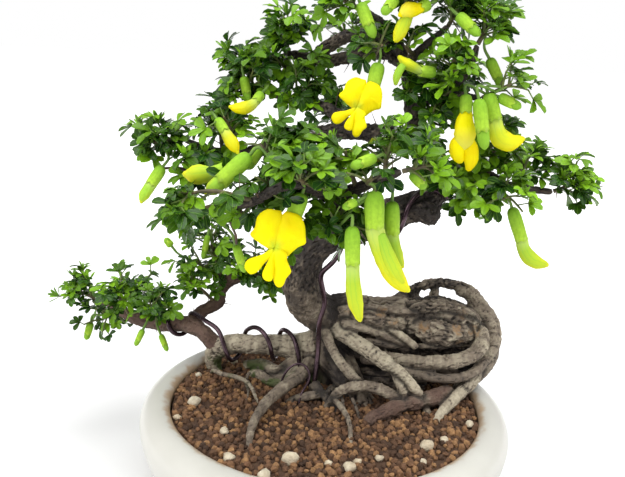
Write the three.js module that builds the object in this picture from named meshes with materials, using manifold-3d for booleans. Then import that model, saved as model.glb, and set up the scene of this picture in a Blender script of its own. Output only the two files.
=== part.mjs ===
// A small flowering caragana bonsai in a round glazed pot. Millimetres, +Z up.
// Every place below is given from the pot's axis, at the height of the soil.
// The finished group is moved so that its origin is the middle of its box, at the foot of the pot.

import * as THREE from "three";
import { mergeVertices } from "three/addons/utils/BufferGeometryUtils.js";
import Module from "manifold-3d";

const wasm = await Module();
wasm.setup();

// Driving dimensions of the pot
const POT_SIDES = 24;
const FOOT_Z = -38;
const FLOOR_Z = -29.5;
const FLOOR_UNDER_Z = -34.5;
const DRAIN_HOLE_R = 6;
const FOOT_INNER_R = 35;
const FOOT_OUTER_R = 41;
const LIP_INNER_R = 51.3;
const LIP_OUTER_R = 61.3;
const LIP_TOP_Z = 1.2;

// Clearance between pieces that touch on the real plant
const GAP = 0.35;
const WIRE_GAP = 0.6;

// Driving dimensions of the soil
const SOIL_R = LIP_INNER_R - 0.5;
const GRAIN_STEP = 8;
const GRAIN_RELIEF = 0.85;
const MOUND = { x: 6, y: 6, height: 2.4, spread: 21 };
const PUMICE = [
  { x: -43, y: -7, r: 3 },
  { x: -31, y: -25, r: 2.6 },
  { x: -10, y: -39, r: 3.4 },
  { x: 7, y: -42, r: 3.6 },
  { x: 31, y: -28, r: 3.4 },
  { x: 47, y: -12, r: 2.6 },
];

// Driving dimensions of the drain mesh
const MESH_SIZE = 20;
const MESH_THICKNESS = 1;
const MESH_OPENING = 6.6;
const MESH_PITCH = 8.6;

// Driving dimensions of leaves and blooms
const LEAFLET_LENGTH = 7.2;
const LEAFLET_WIDTH = 3.9;
const BLADE_RISE = 0.36;
const PETIOLE_R = 0.34;
const STEM_R = 0.75;
const PEDICEL_R = 0.42;
const WIRE_R = 0.75;

// Draws that repeat on every run
function seeded(seed) {
  let state = seed >>> 0;
  return () => {
    state = (state + 0x6d2b79f5) >>> 0;
    let mixed = Math.imul(state ^ (state >>> 15), 1 | state);
    mixed = (mixed + Math.imul(mixed ^ (mixed >>> 7), 61 | mixed)) ^ mixed;
    return ((mixed ^ (mixed >>> 14)) >>> 0) / 4294967296;
  };
}

// Joins and cuts of closed meshes
function solidOf(geometry) {
  const bare = geometry.clone();
  bare.deleteAttribute("normal");
  bare.deleteAttribute("uv");
  const merged = mergeVertices(bare, 1e-4);
  return new wasm.Manifold(
    new wasm.Mesh({
      numProp: 3,
      vertProperties: merged.attributes.position.array,
      triVerts: new Uint32Array(merged.index.array),
    }),
  );
}

// Joins leave a few edges shorter than a hair is wide: each is closed to a point where that keeps the skin whole
const SHORT_EDGE = 0.05;

function closeShortEdges(points, corners) {
  const long = new Set();
  let faces = corners;
  for (;;) {
    const around = points.map(() => new Set());
    for (let first = 0; first < faces.length; first += 3) {
      for (let side = 0; side < 3; side += 1) {
        around[faces[first + side]].add(faces[first + ((side + 1) % 3)]);
        around[faces[first + ((side + 1) % 3)]].add(faces[first + side]);
      }
    }
    let short = null;
    for (let a = 0; a < points.length && !short; a += 1) {
      for (const b of around[a]) {
        if (b < a || long.has(`${a} ${b}`) || points[a].distanceTo(points[b]) > SHORT_EDGE) continue;
        const shared = [...around[a]].filter((vertex) => around[b].has(vertex));
        if (shared.length === 2) short = [a, b];
        else long.add(`${a} ${b}`);
        if (short) break;
      }
    }
    if (!short) return faces;
    const moved = faces.map((vertex) => (vertex === short[1] ? short[0] : vertex));
    faces = moved.filter((_, index) => {
      const [a, b, c] = moved.slice(index - (index % 3), index - (index % 3) + 3);
      return a !== b && b !== c && c !== a;
    });
  }
}

function geometryOf(solid) {
  const { vertProperties, triVerts } = solid.getMesh();
  const points = [];
  for (let first = 0; first < vertProperties.length; first += 3) {
    points.push(new THREE.Vector3().fromArray(vertProperties, first));
  }
  const geometry = new THREE.BufferGeometry().setFromPoints(points);
  geometry.setIndex(closeShortEdges(points, Array.from(triVerts)));
  const flat = geometry.toNonIndexed();
  flat.computeVertexNormals();
  return flat;
}

function joined(solids) {
  return solids.reduce((sum, next) => sum.add(next));
}

function largestBody(solid) {
  const bodies = solid.decompose();
  return bodies.reduce((best, next) => (next.volume() > best.volume() ? next : best));
}

function meshFrom(positions, triangles) {
  const geometry = new THREE.BufferGeometry();
  geometry.setAttribute("position", new THREE.Float32BufferAttribute(positions.flat(), 3));
  geometry.setIndex(triangles.flat());
  return geometry;
}

// Swept round pieces: each control point is x, y, z, radius
class Limb {
  constructor(points) {
    this.radii = points.map((point) => point[3]);
    this.curve = new THREE.CatmullRomCurve3(
      points.map(([x, y, z]) => new THREE.Vector3(x, y, z)),
      false,
      "centripetal",
    );
    this.length = this.curve.getLength();
  }

  // Centre, direction and radius at a share of the length
  at(share) {
    const t = this.curve.getUtoTmapping(share);
    const place = t * (this.radii.length - 1);
    const index = Math.min(Math.floor(place), this.radii.length - 2);
    const radius = THREE.MathUtils.lerp(this.radii[index], this.radii[index + 1], place - index);
    return { centre: this.curve.getPoint(t), along: this.curve.getTangent(t).normalize(), radius };
  }
}

function squareTo(direction, like) {
  const guide = like ?? (Math.abs(direction.z) > 0.9 ? new THREE.Vector3(1, 0, 0) : new THREE.Vector3(0, 0, 1));
  return guide.clone().addScaledVector(direction, -guide.dot(direction)).normalize();
}

// A closed tube round a limb, with ridges and knots from the rough share, and its radius grown by extra.
// The shape option gives the section's width and depth as shares of the radius.
function tube(limb, { sides, step, rough = 0, seed = 1, extra = 0, shape = [1, 1], guide = null }) {
  const draw = seeded(seed);
  const rings = Math.max(2, Math.round(limb.length / step) + 1);
  const ridge = Array.from({ length: sides }, () => draw() - 0.5);
  const positions = [];
  const triangles = [];
  let across = guide;
  let last = null;
  for (let ring = 0; ring < rings; ring += 1) {
    last = limb.at(ring / (rings - 1));
    across = squareTo(last.along, across);
    const upward = new THREE.Vector3().crossVectors(last.along, across);
    if (ring === 0) {
      const start = last.centre.clone().addScaledVector(last.along, -0.4 * last.radius - extra);
      positions.push(start.toArray());
    }
    for (let side = 0; side < sides; side += 1) {
      const angle = (2 * Math.PI * side) / sides;
      const knot = draw() - 0.5;
      const radius = last.radius * (1 + rough * (ridge[side] + knot)) + extra;
      const point = last.centre
        .clone()
        .addScaledVector(across, radius * shape[0] * Math.cos(angle))
        .addScaledVector(upward, radius * shape[1] * Math.sin(angle));
      positions.push(point.toArray());
    }
  }
  positions.push(last.centre.clone().addScaledVector(last.along, 0.4 * last.radius + extra).toArray());
  const tip = positions.length - 1;
  for (let side = 0; side < sides; side += 1) {
    const next = (side + 1) % sides;
    triangles.push([0, 1 + next, 1 + side]);
    for (let ring = 0; ring < rings - 1; ring += 1) {
      const low = 1 + ring * sides;
      const high = low + sides;
      triangles.push([low + side, low + next, high + next]);
      triangles.push([low + side, high + next, high + side]);
    }
    const end = 1 + (rings - 1) * sides;
    triangles.push([tip, end + side, end + next]);
  }
  return meshFrom(positions, triangles);
}

function tubeSolid(points, options) {
  return solidOf(tube(new Limb(points), options));
}

// The woody part of the plant: trunk, roots and branches that grew as one piece
const BARK = {
  trunk: { sides: 9, step: 5.8, rough: 0.2 },
  gnarl: { sides: 9, step: 6.8, rough: 0.3 },
  thick: { sides: 6, step: 6.2, rough: 0.16 },
  root: { sides: 6, step: 7.6, rough: 0.14 },
  slim: { sides: 5, step: 8, rough: 0.14 },
  fine: { sides: 4, step: 8, rough: 0.1 },
};

const WOOD = {
  trunk: ["trunk", [
    [1, 14, -2, 8], [1, 14, 9, 7], [1.2, 13, 22, 6.6], [-7.6, 10, 31.5, 6.9], [-9.5, 6, 41.5, 5.8],
    [-6.5, 4, 51, 5.2], [1.5, 4, 57, 5], [12.5, 6, 60.5, 5], [23, 9, 65, 5], [32, 12, 68, 4.8],
    [35, 14, 74, 4.2], [32, 13, 82, 3.6], [26.5, 11, 89.5, 3.6], [23, 9, 97.5, 2.5],
    [21.5, 7, 104.5, 2.3], [19, 6, 112, 2], [16.5, 4, 119, 1.6], [17.5, 2, 125, 1.1],
  ]],
  cut_stub: ["thick", [[24, 9, 66, 4], [29, 5, 65.5, 3.6], [31.5, 1, 65, 3.2]]],
  gnarl: ["gnarl", [
    [3, 13, 24.5, 8.6], [9, 14, 25.5, 7.7], [18, 15, 25, 6.8], [29, 17, 24.5, 7.3], [40, 18, 24, 8.2],
    [48, 19, 21.5, 7.4], [53.5, 20, 17, 5.6],
  ]],
  gnarl_foot: ["thick", [[8, 14, 15, 6], [20, 17, 12, 6.3], [34, 20, 11, 6.8], [50, 20, 9, 5]]],
  limb: ["thick", [
    [-3, 13, 13, 7], [-11, 14, 12.5, 4.2], [-20, 15, 12.5, 3.6], [-29, 17, 11.5, 3.6], [-36.5, 19, 9.5, 3.8],
    [-40.5, 20, 5.5, 3.4], [-40, 20, 1, 2.8], [-38.5, 18, -3, 2.2],
  ]],
  arch: ["root", [
    [24, 20, 28.5, 3], [28.5, 22, 32, 2.2], [34, 24, 34.3, 1.8], [40, 25, 35, 1.9], [46, 25, 34.3, 2.2],
    [50.5, 24, 32, 2.7], [54, 22, 28, 3.2], [57.5, 20, 23.5, 3.4], [58.9, 18, 18, 3.3], [58, 16, 11.5, 3.2],
    [54.5, 13, 7.2, 3], [50, 9.5, 4.6, 2.8], [44.5, 3.5, 1.5, 2.5], [40, -1.5, -0.8, 2.2], [37.5, -5, -3.5, 1.8],
  ]],
  arch_strut: ["fine", [[36, 20, 28, 2.1], [37.6, 23, 31.4, 1.8], [38.6, 25, 34.6, 1.6]]],
  ring: ["slim", [
    [12, 8, 15, 2], [20, 5, 14, 2.2], [28.5, 4, 13.5, 2.4], [37, 4, 13.5, 2.6], [45.5, 5, 14.5, 2.6],
    [51.5, 8, 16.5, 2.6], [54, 12, 19, 2.6], [53, 16, 22, 2.6], [47, 18, 22.5, 2.4],
  ]],
  ring_low: ["slim", [
    [23, 4, 12, 1.6], [27, 2, 10.5, 1.7], [35, 1, 9.5, 1.7], [44, 2, 9, 1.7], [50.5, 5, 10, 1.7],
    [56.5, 11, 12.5, 1.7],
  ]],
  pale_root: ["root", [
    [0, 11, 24, 3.2], [7.5, 4, 21, 2.7], [14.5, 0, 18, 2.7], [20, -3, 15.5, 2.8], [24.5, -5, 12.5, 2.2],
    [31, -6, 6, 1.8], [35, -6, -2, 1.4],
  ]],
  pale_fork: ["slim", [[21, -3.5, 15, 2], [24.5, -6, 9.5, 1.8], [26, -9, 2, 1.4]]],
  side_root: ["slim", [[-1.5, 8, 23, 2.2], [1, 2, 19, 1.7], [4.5, -1, 14.5, 1.7], [8.5, -3, 10.5, 1.8], [13, -5, 7, 1.8]]],
  plum_root: ["slim", [[12, -17, -3, 1.6], [14, -15, 1, 1.9], [19.5, -12, 2.5, 2.5], [26, -8, 3.5, 2.8], [35, -4, 4, 2.8], [42, 3, 3.5, 2.6]]],
  bow_root: ["slim", [[-1, -7.5, -4, 1.5], [1.5, -7, 2.5, 1.6], [5.5, -6, 6.5, 1.8], [11, -6, 8.4, 2], [18, -6, 7.5, 2], [25, -7.5, 5, 1.8]]],
  fine_root: ["fine", [[2.5, -7, 4, 1.2], [5.5, -13, 3.6, 1], [7.5, -21, 3, 0.9], [8, -28, -1.5, 0.8]]],
  sickle_root: ["slim", [
    [-3, 11, 12, 3], [-8.5, 1, 8, 2.3], [-14, -5, 6, 2.1], [-19, -12, 4, 1.8], [-22, -20, 2, 1.5],
    [-22.8, -28, 0.6, 1.2], [-22.5, -33, -2.4, 0.9],
  ]],
  base_left: ["thick", [[-2, 14, 12, 6], [-10, 12, 5, 5], [-20, 10, -1, 3.6]]],
  base_front: ["thick", [[2, 10, 12, 6], [8, 3, 6, 5], [14, -3, -1, 3.6]]],
  low_left: ["thick", [
    [-38.5, 19.5, 8, 3.4], [-44.5, 22, 13, 2.8], [-50, 26, 14, 3], [-59.5, 32, 11.5, 2.8], [-67.5, 36, 10.5, 2.6],
    [-76, 39, 11.5, 2.2], [-82.5, 41, 14.5, 1.6], [-89, 43, 16, 1.2],
  ]],
  low_up: ["slim", [
    [-50, 26, 13.5, 2.6], [-46, 31, 18, 2.3], [-40.5, 33, 21, 2.3], [-39.5, 34, 25.5, 2], [-36, 34, 30, 2.8],
    [-30, 33, 31, 2], [-24.5, 31, 30.5, 1.2],
  ]],
  low_up_twig: ["fine", [[-38.5, 34, 27, 1.4], [-41, 35, 31, 1.1], [-42, 36, 36, 0.9]]],
  left_high: ["slim", [
    [27.5, 11.5, 87.5, 3.4], [16.5, 8, 89.5, 2.8], [5, 6, 90, 2.8], [-4, 6, 89.5, 2.4], [-12.5, 7, 87, 2],
    [-23, 9, 83.5, 1.6], [-33, 11, 81, 1.3], [-42, 12, 81.5, 1.1], [-49, 9, 84.5, 0.9],
  ]],
  left_fork: ["slim", [[3, 6, 90, 2.4], [-1.5, 9, 95.5, 2.2], [-9.5, 14, 97.5, 1.8], [-18, 18, 98.5, 1.4], [-25, 22, 100.5, 1]]],
  crown_high: ["slim", [
    [16.8, 4, 118, 2], [8, 10, 120, 2], [0.5, 16, 118.5, 2], [-4.5, 20, 115.5, 2.2], [-10, 24, 111.5, 2],
    [-16.5, 26, 112, 1.5], [-25, 24, 109, 1.2], [-33, 20, 110, 0.9],
  ]],
  crown_low: ["slim", [[19, 6, 112, 2.2], [12, 12, 114.5, 2.2], [4.5, 17, 113, 2.2], [-2.5, 21, 111, 2], [-9, 24, 111, 1.8]]],
  crown_top: ["fine", [[17, 4, 117.5, 1.5], [12, 3, 123, 1.2], [5, 4, 127, 0.9]]],
  crown_right: ["fine", [[19.2, 6, 111, 1.7], [25, 0, 118, 1.3], [30, -3, 123, 0.9]]],
  east: ["fine", [[23, 9, 97, 2.3], [29, 5, 103, 1.9], [35, 1, 107, 1.6], [38, -2, 113, 1.3], [39, -3, 118, 0.9]]],
  east_low: ["fine", [[29, 5, 102.5, 1.5], [35, -1, 103.5, 1.2], [41, -6, 103, 0.9]]],
  right: ["slim", [[35, 13, 72.5, 3.6], [41, 8, 75, 2.6], [47, 4, 78, 2.2], [53, 2, 76, 1.8], [61, 2, 75, 1.4], [68, 2, 74.5, 1]]],
  rear: ["slim", [[33, 13.5, 80, 2.9], [27, 25, 84, 2.2], [17, 34, 87, 1.7], [5, 40, 88, 1.1]]],
  front: ["slim", [
    [6, 4, 58.5, 4.2], [3, -8, 66.5, 3.2], [-0.5, -20, 73.5, 2.6], [-5, -30, 78, 2.2], [-10.5, -36, 81, 1.8],
    [-16, -37, 80, 1.5], [-22, -35.6, 75.8, 1.3], [-29, -36.4, 73.6, 1.1], [-33.5, -37.4, 74, 0.9],
  ]],
  front_fork: ["fine", [[-1, -21, 74, 2.4], [4.5, -28, 78.5, 1.8], [10.5, -32, 82, 1.4], [16, -34, 85, 1]]],
};

const limbs = {};
for (const [name, [, points]] of Object.entries(WOOD)) limbs[name] = new Limb(points);

function woodPieces(extra) {
  return Object.entries(WOOD).map(([name, [kind]], order) =>
    solidOf(tube(limbs[name], { ...BARK[kind], seed: 100 + order, extra })),
  );
}

// Places on the wood's centre lines, for keeping wires and stems off it
const WOOD_SAMPLE = 1.2;
const woodSamples = Object.values(limbs).flatMap((limb) => {
  const count = Math.ceil(limb.length / WOOD_SAMPLE);
  return Array.from({ length: count + 1 }, (_, index) => limb.at(index / count));
});

// Moves a point straight out from the wood until it is clear of the bark
function clearOfWood(point, clearance) {
  const moved = point.clone();
  for (let round = 0; round < 12; round += 1) {
    let worst = null;
    for (const sample of woodSamples) {
      const need = sample.radius * 1.17 + clearance;
      const away = moved.distanceTo(sample.centre);
      if (away < need && (!worst || need - away > worst.short)) worst = { sample, away, short: need - away };
    }
    if (!worst) break;
    moved.addScaledVector(moved.clone().sub(worst.sample.centre).divideScalar(worst.away || 1), worst.short + 0.02);
  }
  return moved;
}

// Training wire: points chosen round the wood, then pressed off the bark
const WIRES = {
  wire_limb: [
    [-4, 5, -5], [-5.5, 5, 3], [-8, 7, 10], [-11, 10, 17], [-15, 15, 18.5], [-17, 20, 14], [-17.5, 17, 7.5],
    [-18.5, 10, 9.5], [-20, 10, 16], [-24, 14, 19], [-29, 20, 15], [-30.5, 20, 8], [-33.5, 13.5, 6],
    [-36, 14, 12], [-38.5, 17, 16.5], [-43, 20, 18], [-48, 26, 18], [-51, 30, 14], [-53, 28, 9.5],
    [-56.5, 26, 10.5], [-59, 30, 16], [-63, 36, 15.5],
  ],
  wire_trunk: [
    [-5, -2, -6], [-4, 0, 2], [-3.5, 1, 9], [-3, 2, 14.5], [-3, 2.5, 21], [-3, 2, 27.5], [-1.5, 2, 33.5],
    [-2.5, 1, 39], [-3.5, 0, 44.5], [-0.5, -1.5, 48], [2, -2, 52], [3.5, -2.5, 57], [8, -1, 63.5],
    [13, 6, 67], [17.5, 12, 64], [19, 10, 58], [21, 3.5, 61], [24, 4, 68], [29.5, 6, 73], [36, 7, 70.5],
    [40, 11, 67],
  ],
  tie_wire: [[-16, 1, -4], [-15, 2, 4], [-13, 3, 9], [-9, 3, 11.5], [-5, -1, 9], [-8, -5, 4], [-9, -8, -4]],
};
const WIRE_FACETS = { sides: 4, step: 4.4 };
const WIRE_SIZE = { wire_limb: WIRE_R, wire_trunk: WIRE_R, tie_wire: 0.55 };

function wirePoints(name, extra) {
  const radius = WIRE_SIZE[name];
  const route = new Limb(WIRES[name].map((point) => [...point, radius]));
  const count = Math.round(route.length / 3.2);
  return Array.from({ length: count + 1 }, (_, index) => {
    const placed = clearOfWood(route.at(index / count).centre, radius + WIRE_GAP);
    return [placed.x, placed.y, placed.z, radius + extra];
  });
}

// Leaf of four leaflets in one arched blade, cut almost to its middle, with its stalk.
// It lies along +X with its upper face to +Z, and its stalk runs back to the given root.
const LEAFLET_TURNS = [-1.34, -0.45, 0.45, 1.34];
const LEAFLET_SHARES = [0.82, 1, 1, 0.82];
const HEART_R = 1.1;
const NOTCH_TURNS = [-2.2, -0.9, 0, 0.9, 2.2];

function leafGeometry({ scale = 1, rise = BLADE_RISE, arch = 0.16, root }) {
  const positions = [[0, 0, rise], [0, 0, -rise]];
  const triangles = [];
  const add = (point) => positions.push(point) - 1;
  const notches = NOTCH_TURNS.map((turn) => add([HEART_R * scale * Math.cos(turn), HEART_R * scale * Math.sin(turn), 0]));
  LEAFLET_TURNS.forEach((turn, index) => {
    const length = LEAFLET_LENGTH * LEAFLET_SHARES[index] * scale;
    const half = (LEAFLET_WIDTH * LEAFLET_SHARES[index] * scale) / 2;
    const place = (along, across, lift = 0) => [
      along * Math.cos(turn) - across * Math.sin(turn),
      along * Math.sin(turn) + across * Math.cos(turn),
      arch * along * (1 - (0.9 * along) / length) + lift,
    ];
    const round = [
      notches[index],
      add(place(0.62 * length, -half)),
      add(place(0.97 * length, -0.5 * half)),
      add(place(0.97 * length, 0.5 * half)),
      add(place(0.62 * length, half)),
      notches[index + 1],
    ];
    const top = add(place(0.58 * length, 0, rise));
    for (let step = 0; step < round.length - 1; step += 1) {
      triangles.push([top, round[step], round[step + 1]]);
      triangles.push([1, round[step + 1], round[step]]);
    }
    triangles.push([top, notches[index + 1], 0], [top, 0, notches[index]]);
  });
  const back = new THREE.Vector3(...root).normalize();
  const upward = squareTo(back, new THREE.Vector3(0, 0, 1));
  const aside = new THREE.Vector3().crossVectors(upward, back);
  const rootPoint = (up, out) =>
    add(new THREE.Vector3(...root).addScaledVector(upward, up * PETIOLE_R).addScaledVector(aside, out * PETIOLE_R).toArray());
  const [first, last] = [notches[0], notches[notches.length - 1]];
  const [left, low, right] = [rootPoint(0.7, -1), rootPoint(-1, 0), rootPoint(0.7, 1)];
  triangles.push([0, last, left], [0, left, right], [0, right, first]);
  triangles.push([last, 1, low], [last, low, left], [1, first, low], [first, right, low], [left, low, right]);
  return meshFrom(positions, triangles);
}

// Flower tube with pointed teeth on its own stalk, dished at its mouth so that the petals stand in it
function calyxSolid({ root, bend, base, mouth, radius, teeth = 5 }) {
  const axis = mouth.clone().sub(base);
  const length = axis.length();
  axis.normalize();
  const across = squareTo(axis);
  const ringPoint = (centre, along, out, angle) => {
    const first = squareTo(along, across);
    const second = new THREE.Vector3().crossVectors(along, first);
    return centre
      .clone()
      .addScaledVector(first, out * Math.cos(angle))
      .addScaledVector(second, out * Math.sin(angle))
      .toArray();
  };
  const positions = [];
  const triangles = [];
  const stalk = [
    [root, bend.clone().sub(root).normalize()],
    [bend, base.clone().sub(root).normalize()],
    [base, axis],
  ];
  stalk.forEach(([centre, along]) => {
    for (let tooth = 0; tooth < teeth; tooth += 1) {
      positions.push(ringPoint(centre, along, PEDICEL_R, (2 * Math.PI * tooth) / teeth));
    }
  });
  const bowl = positions.length;
  for (let side = 0; side < 2 * teeth; side += 1) {
    const angle = (Math.PI * side) / teeth;
    const [rise, out] = side % 2 ? [0.87, 0.98] : [1.04, 1];
    positions.push(ringPoint(base.clone().addScaledVector(axis, 0.16 * length), axis, 0.9 * radius, angle));
    positions.push(ringPoint(base.clone().addScaledVector(axis, rise * length), axis, out * radius, angle));
  }
  const dish = positions.push(base.clone().addScaledVector(axis, 0.55 * length).toArray()) - 1;
  for (let tooth = 1; tooth < teeth - 1; tooth += 1) triangles.push([0, tooth + 1, tooth]);
  for (let tooth = 0; tooth < teeth; tooth += 1) {
    const next = (tooth + 1) % teeth;
    for (let ring = 0; ring < stalk.length - 1; ring += 1) {
      const [a, b] = [ring * teeth + tooth, ring * teeth + next];
      triangles.push([a, b, b + teeth], [a, b + teeth, a + teeth]);
    }
    const [a, b] = [(stalk.length - 1) * teeth + tooth, (stalk.length - 1) * teeth + next];
    const [low, middle, far] = [bowl + 4 * tooth, bowl + 4 * tooth + 2, bowl + 4 * next];
    triangles.push([a, middle, low], [a, b, middle], [b, far, middle]);
    triangles.push([low, middle, middle + 1], [low, middle + 1, low + 1], [middle, far, far + 1]);
    triangles.push([middle, far + 1, middle + 1], [dish, low + 1, middle + 1], [dish, middle + 1, far + 1]);
  }
  return solidOf(meshFrom(positions, triangles));
}

// A thin petal blade: a ring of outline points round a raised and a lowered middle
function petalSolid(outline, middle, thickness) {
  const positions = [[middle[0], middle[1], middle[2] + thickness / 2], [middle[0], middle[1], middle[2] - thickness / 2]];
  const triangles = [];
  outline.forEach((point) => positions.push(point));
  outline.forEach((_, index) => {
    const next = (index + 1) % outline.length;
    triangles.push([0, 2 + index, 2 + next], [1, 2 + next, 2 + index]);
  });
  return meshFrom(positions, triangles);
}

// The open pea flower: x to its right, y up its standard, z out of its face, from the throat
const OPEN_FLOWER = [
  { middle: [-2.6, 4.6, 0.4], outline: [[0.3, -0.6, -0.2], [1.9, 8.4, -0.4], [-0.8, 9.7, -1], [-4.2, 8.7, -1.5], [-6.8, 2.9, -1.5], [-3.6, 0, -0.8]] },
  { middle: [4.2, 4.2, 0.4], outline: [[-0.4, -0.7, -0.3], [3.1, -2.7, -0.8], [8, 0.6, -1.4], [7.9, 5.4, -1.6], [5.3, 8.9, -1.2], [1.5, 8.2, -0.4]] },
  { middle: [-4.4, -3.8, 1.9], outline: [[0.3, -0.5, 0.3], [-0.7, 0, 0.3], [-7.2, -3.3, 2.2], [-8.1, -5.4, 2.6], [-6.4, -7.2, 2.6], [-3.7, -5.6, 2.2], [-0.9, -2.3, 1]] },
  { middle: [1.7, -5.2, 1.9], outline: [[-0.6, 0.4, -0.1], [-0.8, -6, 2.2], [0.1, -10.1, 2.6], [1.8, -10.4, 2.6], [4.3, -6.7, 2.4], [3.3, -3.4, 1.8], [2.1, 0, 0.2]] },
  { middle: [-1.8, -5, 3.2], outline: [[0.2, -0.5, 0.4], [-0.8, -0.5, 0.4], [-3.3, -6.7, 3.1], [-2.4, -8.7, 3.5], [-0.9, -8.4, 3.5], [-0.6, -5, 3.2]] },
];

function openFlower({ throat, neck, face, up, size, claw }) {
  const out = new THREE.Vector3(...face).normalize();
  const rise = squareTo(out, new THREE.Vector3(...up));
  const aside = new THREE.Vector3().crossVectors(rise, out);
  const matrix = new THREE.Matrix4()
    .makeBasis(aside, rise, out)
    .scale(new THREE.Vector3(size, size, size))
    .setPosition(new THREE.Vector3(...throat));
  const blades = OPEN_FLOWER.map(({ outline, middle }) =>
    solidOf(petalSolid(outline, middle, 0.75 / size).applyMatrix4(matrix)),
  );
  const throatTube = tubeSolid([[...claw, 0.8], [...neck, 1], [...throat, 1.3]], { sides: 5, step: 4 });
  return joined([throatTube, ...blades]);
}

// Blooms. Points give the calyx from its base to its mouth, then the petals to their tip.
// Each petal point is x, y, z, radius; flat gives the section's width and depth.
const BLOOMS = [
  { name: "petals_front_open", stem: "front_bloom", at: 0.16, calyx: [[-10.2, -36.4, 76], [-12.4, -36.8, 70.8]], r: 2.3,
    open: { throat: [-16.3, -41.2, 65], neck: [-13.6, -37.6, 67.6], face: [-0.04, -0.96, 0.12], up: [-0.06, 0.12, 1], size: 1 } },
  { name: "petals_front_long", stem: "front_low", at: 0.9, calyx: [[3.8, -38, 70.4], [4.6, -38, 59.7]], r: 2.15, flat: [1, 0.8],
    petals: [[4.8, -38.2, 56.4, 1.9], [5.3, -38.5, 52.4, 2.2], [6.1, -38.8, 48.6, 2.1], [7.3, -39.3, 44.8, 1]] },
  { name: "petals_front_broad", stem: "front_buds", at: 0.5, calyx: [[9.1, -36.8, 79.8], [10, -37, 68.4]], r: 2.6, flat: [1.15, 0.8],
    petals: [[11.2, -37, 65.6, 2.3], [13.3, -37.2, 61.4, 2.5], [16.6, -37.6, 56.2, 2.2], [19.4, -38, 53.4, 1.1]] },
  { name: "petals_front_third", stem: "front_buds", at: 0.25, calyx: [[14.9, -31, 76.6], [15.8, -31, 67]], r: 2.1, flat: [1, 0.9],
    petals: [[16.2, -31, 64.6, 1.7], [17.2, -31, 61, 1.9], [18.8, -31.4, 58.2, 0.9]] },
  { name: "petals_crown_open", stem: "crown_front", at: 0.8, calyx: [[10.6, -3.4, 111.8], [9.2, -5, 105]], r: 2.2,
    open: { throat: [4.6, -10.6, 99.6], neck: [8, -7, 102], face: [-0.06, -0.93, 0.2], up: [0.1, 0.2, 1], size: 0.86 } },
  { name: "petals_crown_top", stem: "crown_tip", at: 0.85, calyx: [[24, -4, 129.5], [21, -5, 127.6]], r: 1.8, flat: [1.3, 0.9],
    petals: [[19, -5.5, 126.5, 1.8], [16.6, -6, 124.5, 2.2], [15.2, -6.5, 122.4, 1]] },
  { name: "petals_crown_side", stem: "east_front", at: 0.6, calyx: [[29, -5, 110.4], [24, -5.5, 108.7]], r: 1.9, flat: [1.3, 0.9],
    petals: [[22, -5.6, 108.2, 1.9], [18.6, -5.8, 109.6, 2.2], [16.6, -6, 112.6, 1]] },
  { name: "petals_east_hanging", stem: "east_blooms", at: 0.2, calyx: [[36.6, -8, 101.6], [37, -9, 96.4]], r: 1.9, flat: [1.1, 0.9],
    petals: [[37.2, -9.4, 93.6, 2.1], [37.6, -10, 90, 2.5], [38.8, -10, 86, 1.9], [40.4, -9.8, 82.6, 0.9]] },
  { name: "petals_east_curved", stem: "east_blooms", at: 0.75, calyx: [[44.4, -8.5, 104.2], [46, -9.5, 97.4]], r: 2.1, flat: [1.3, 0.9],
    petals: [[46.2, -9.8, 95, 2.1], [47.4, -10.2, 92.4, 2.7], [50.4, -10.6, 91.2, 2.6], [53.4, -11, 92, 1.2]] },
  { name: "petals_right_hanging", stem: "right_front", at: 0.5, calyx: [[54, -6, 70.6], [58.2, -6.4, 60.4]], r: 2.1, flat: [1.1, 0.8],
    petals: [[58.9, -6.5, 58, 1.8], [61, -6.6, 55.2, 2.2], [63.8, -6.8, 53.6, 1.9], [66.4, -7, 53.2, 1]] },
  { name: "petals_left_high", stem: "high_left_low", at: 0.7, calyx: [[-26, 8.5, 99.6], [-29.2, 5.6, 97.6]], r: 1.7, flat: [1.2, 0.9],
    petals: [[-31, 4.4, 96.2, 1.7], [-33, 3.2, 94.6, 1.9], [-34.4, 2.2, 92.6, 0.9]] },
  { name: "petals_left_front", stem: "front_left_top", at: 0.75, calyx: [[-29, -23, 86], [-34, -24.4, 82.4]], r: 2, flat: [1.1, 1],
    petals: [[-36, -24.8, 81, 2], [-39.5, -25.6, 79.6, 2.3], [-43, -26.2, 79.4, 1.1]] },
  { name: "petals_left_mid", stem: "left_top", at: 0.3, calyx: [[-30, 3, 90], [-33, 0, 87]], r: 1.7, flat: [1.2, 0.9],
    petals: [[-34.2, -1.4, 85.8, 1.6], [-35.4, -3, 84, 1.8], [-36.4, -4.4, 82, 0.8]] },
  { name: "petals_left_bud", stem: "front_left_top", at: 0.4, calyx: [[-24.4, -32, 86.6], [-30, -33, 81.6]], r: 2.2, flat: [1, 0.9],
    petals: [[-31.6, -33.2, 80.2, 1.7], [-33.6, -33.2, 78.4, 1.9], [-35.6, -33.2, 76.4, 0.9]] },
  { name: "petals_left_tip", stem: "left_tip", at: 0.8, calyx: [[-54.4, 0, 77], [-57.6, -3, 71.6]], r: 1.9, flat: [1, 0.9],
    petals: [[-58.6, -3.8, 69.8, 1.6], [-59.8, -5, 67.4, 1.6], [-60.8, -5.6, 65.6, 0.8]] },
];

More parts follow.
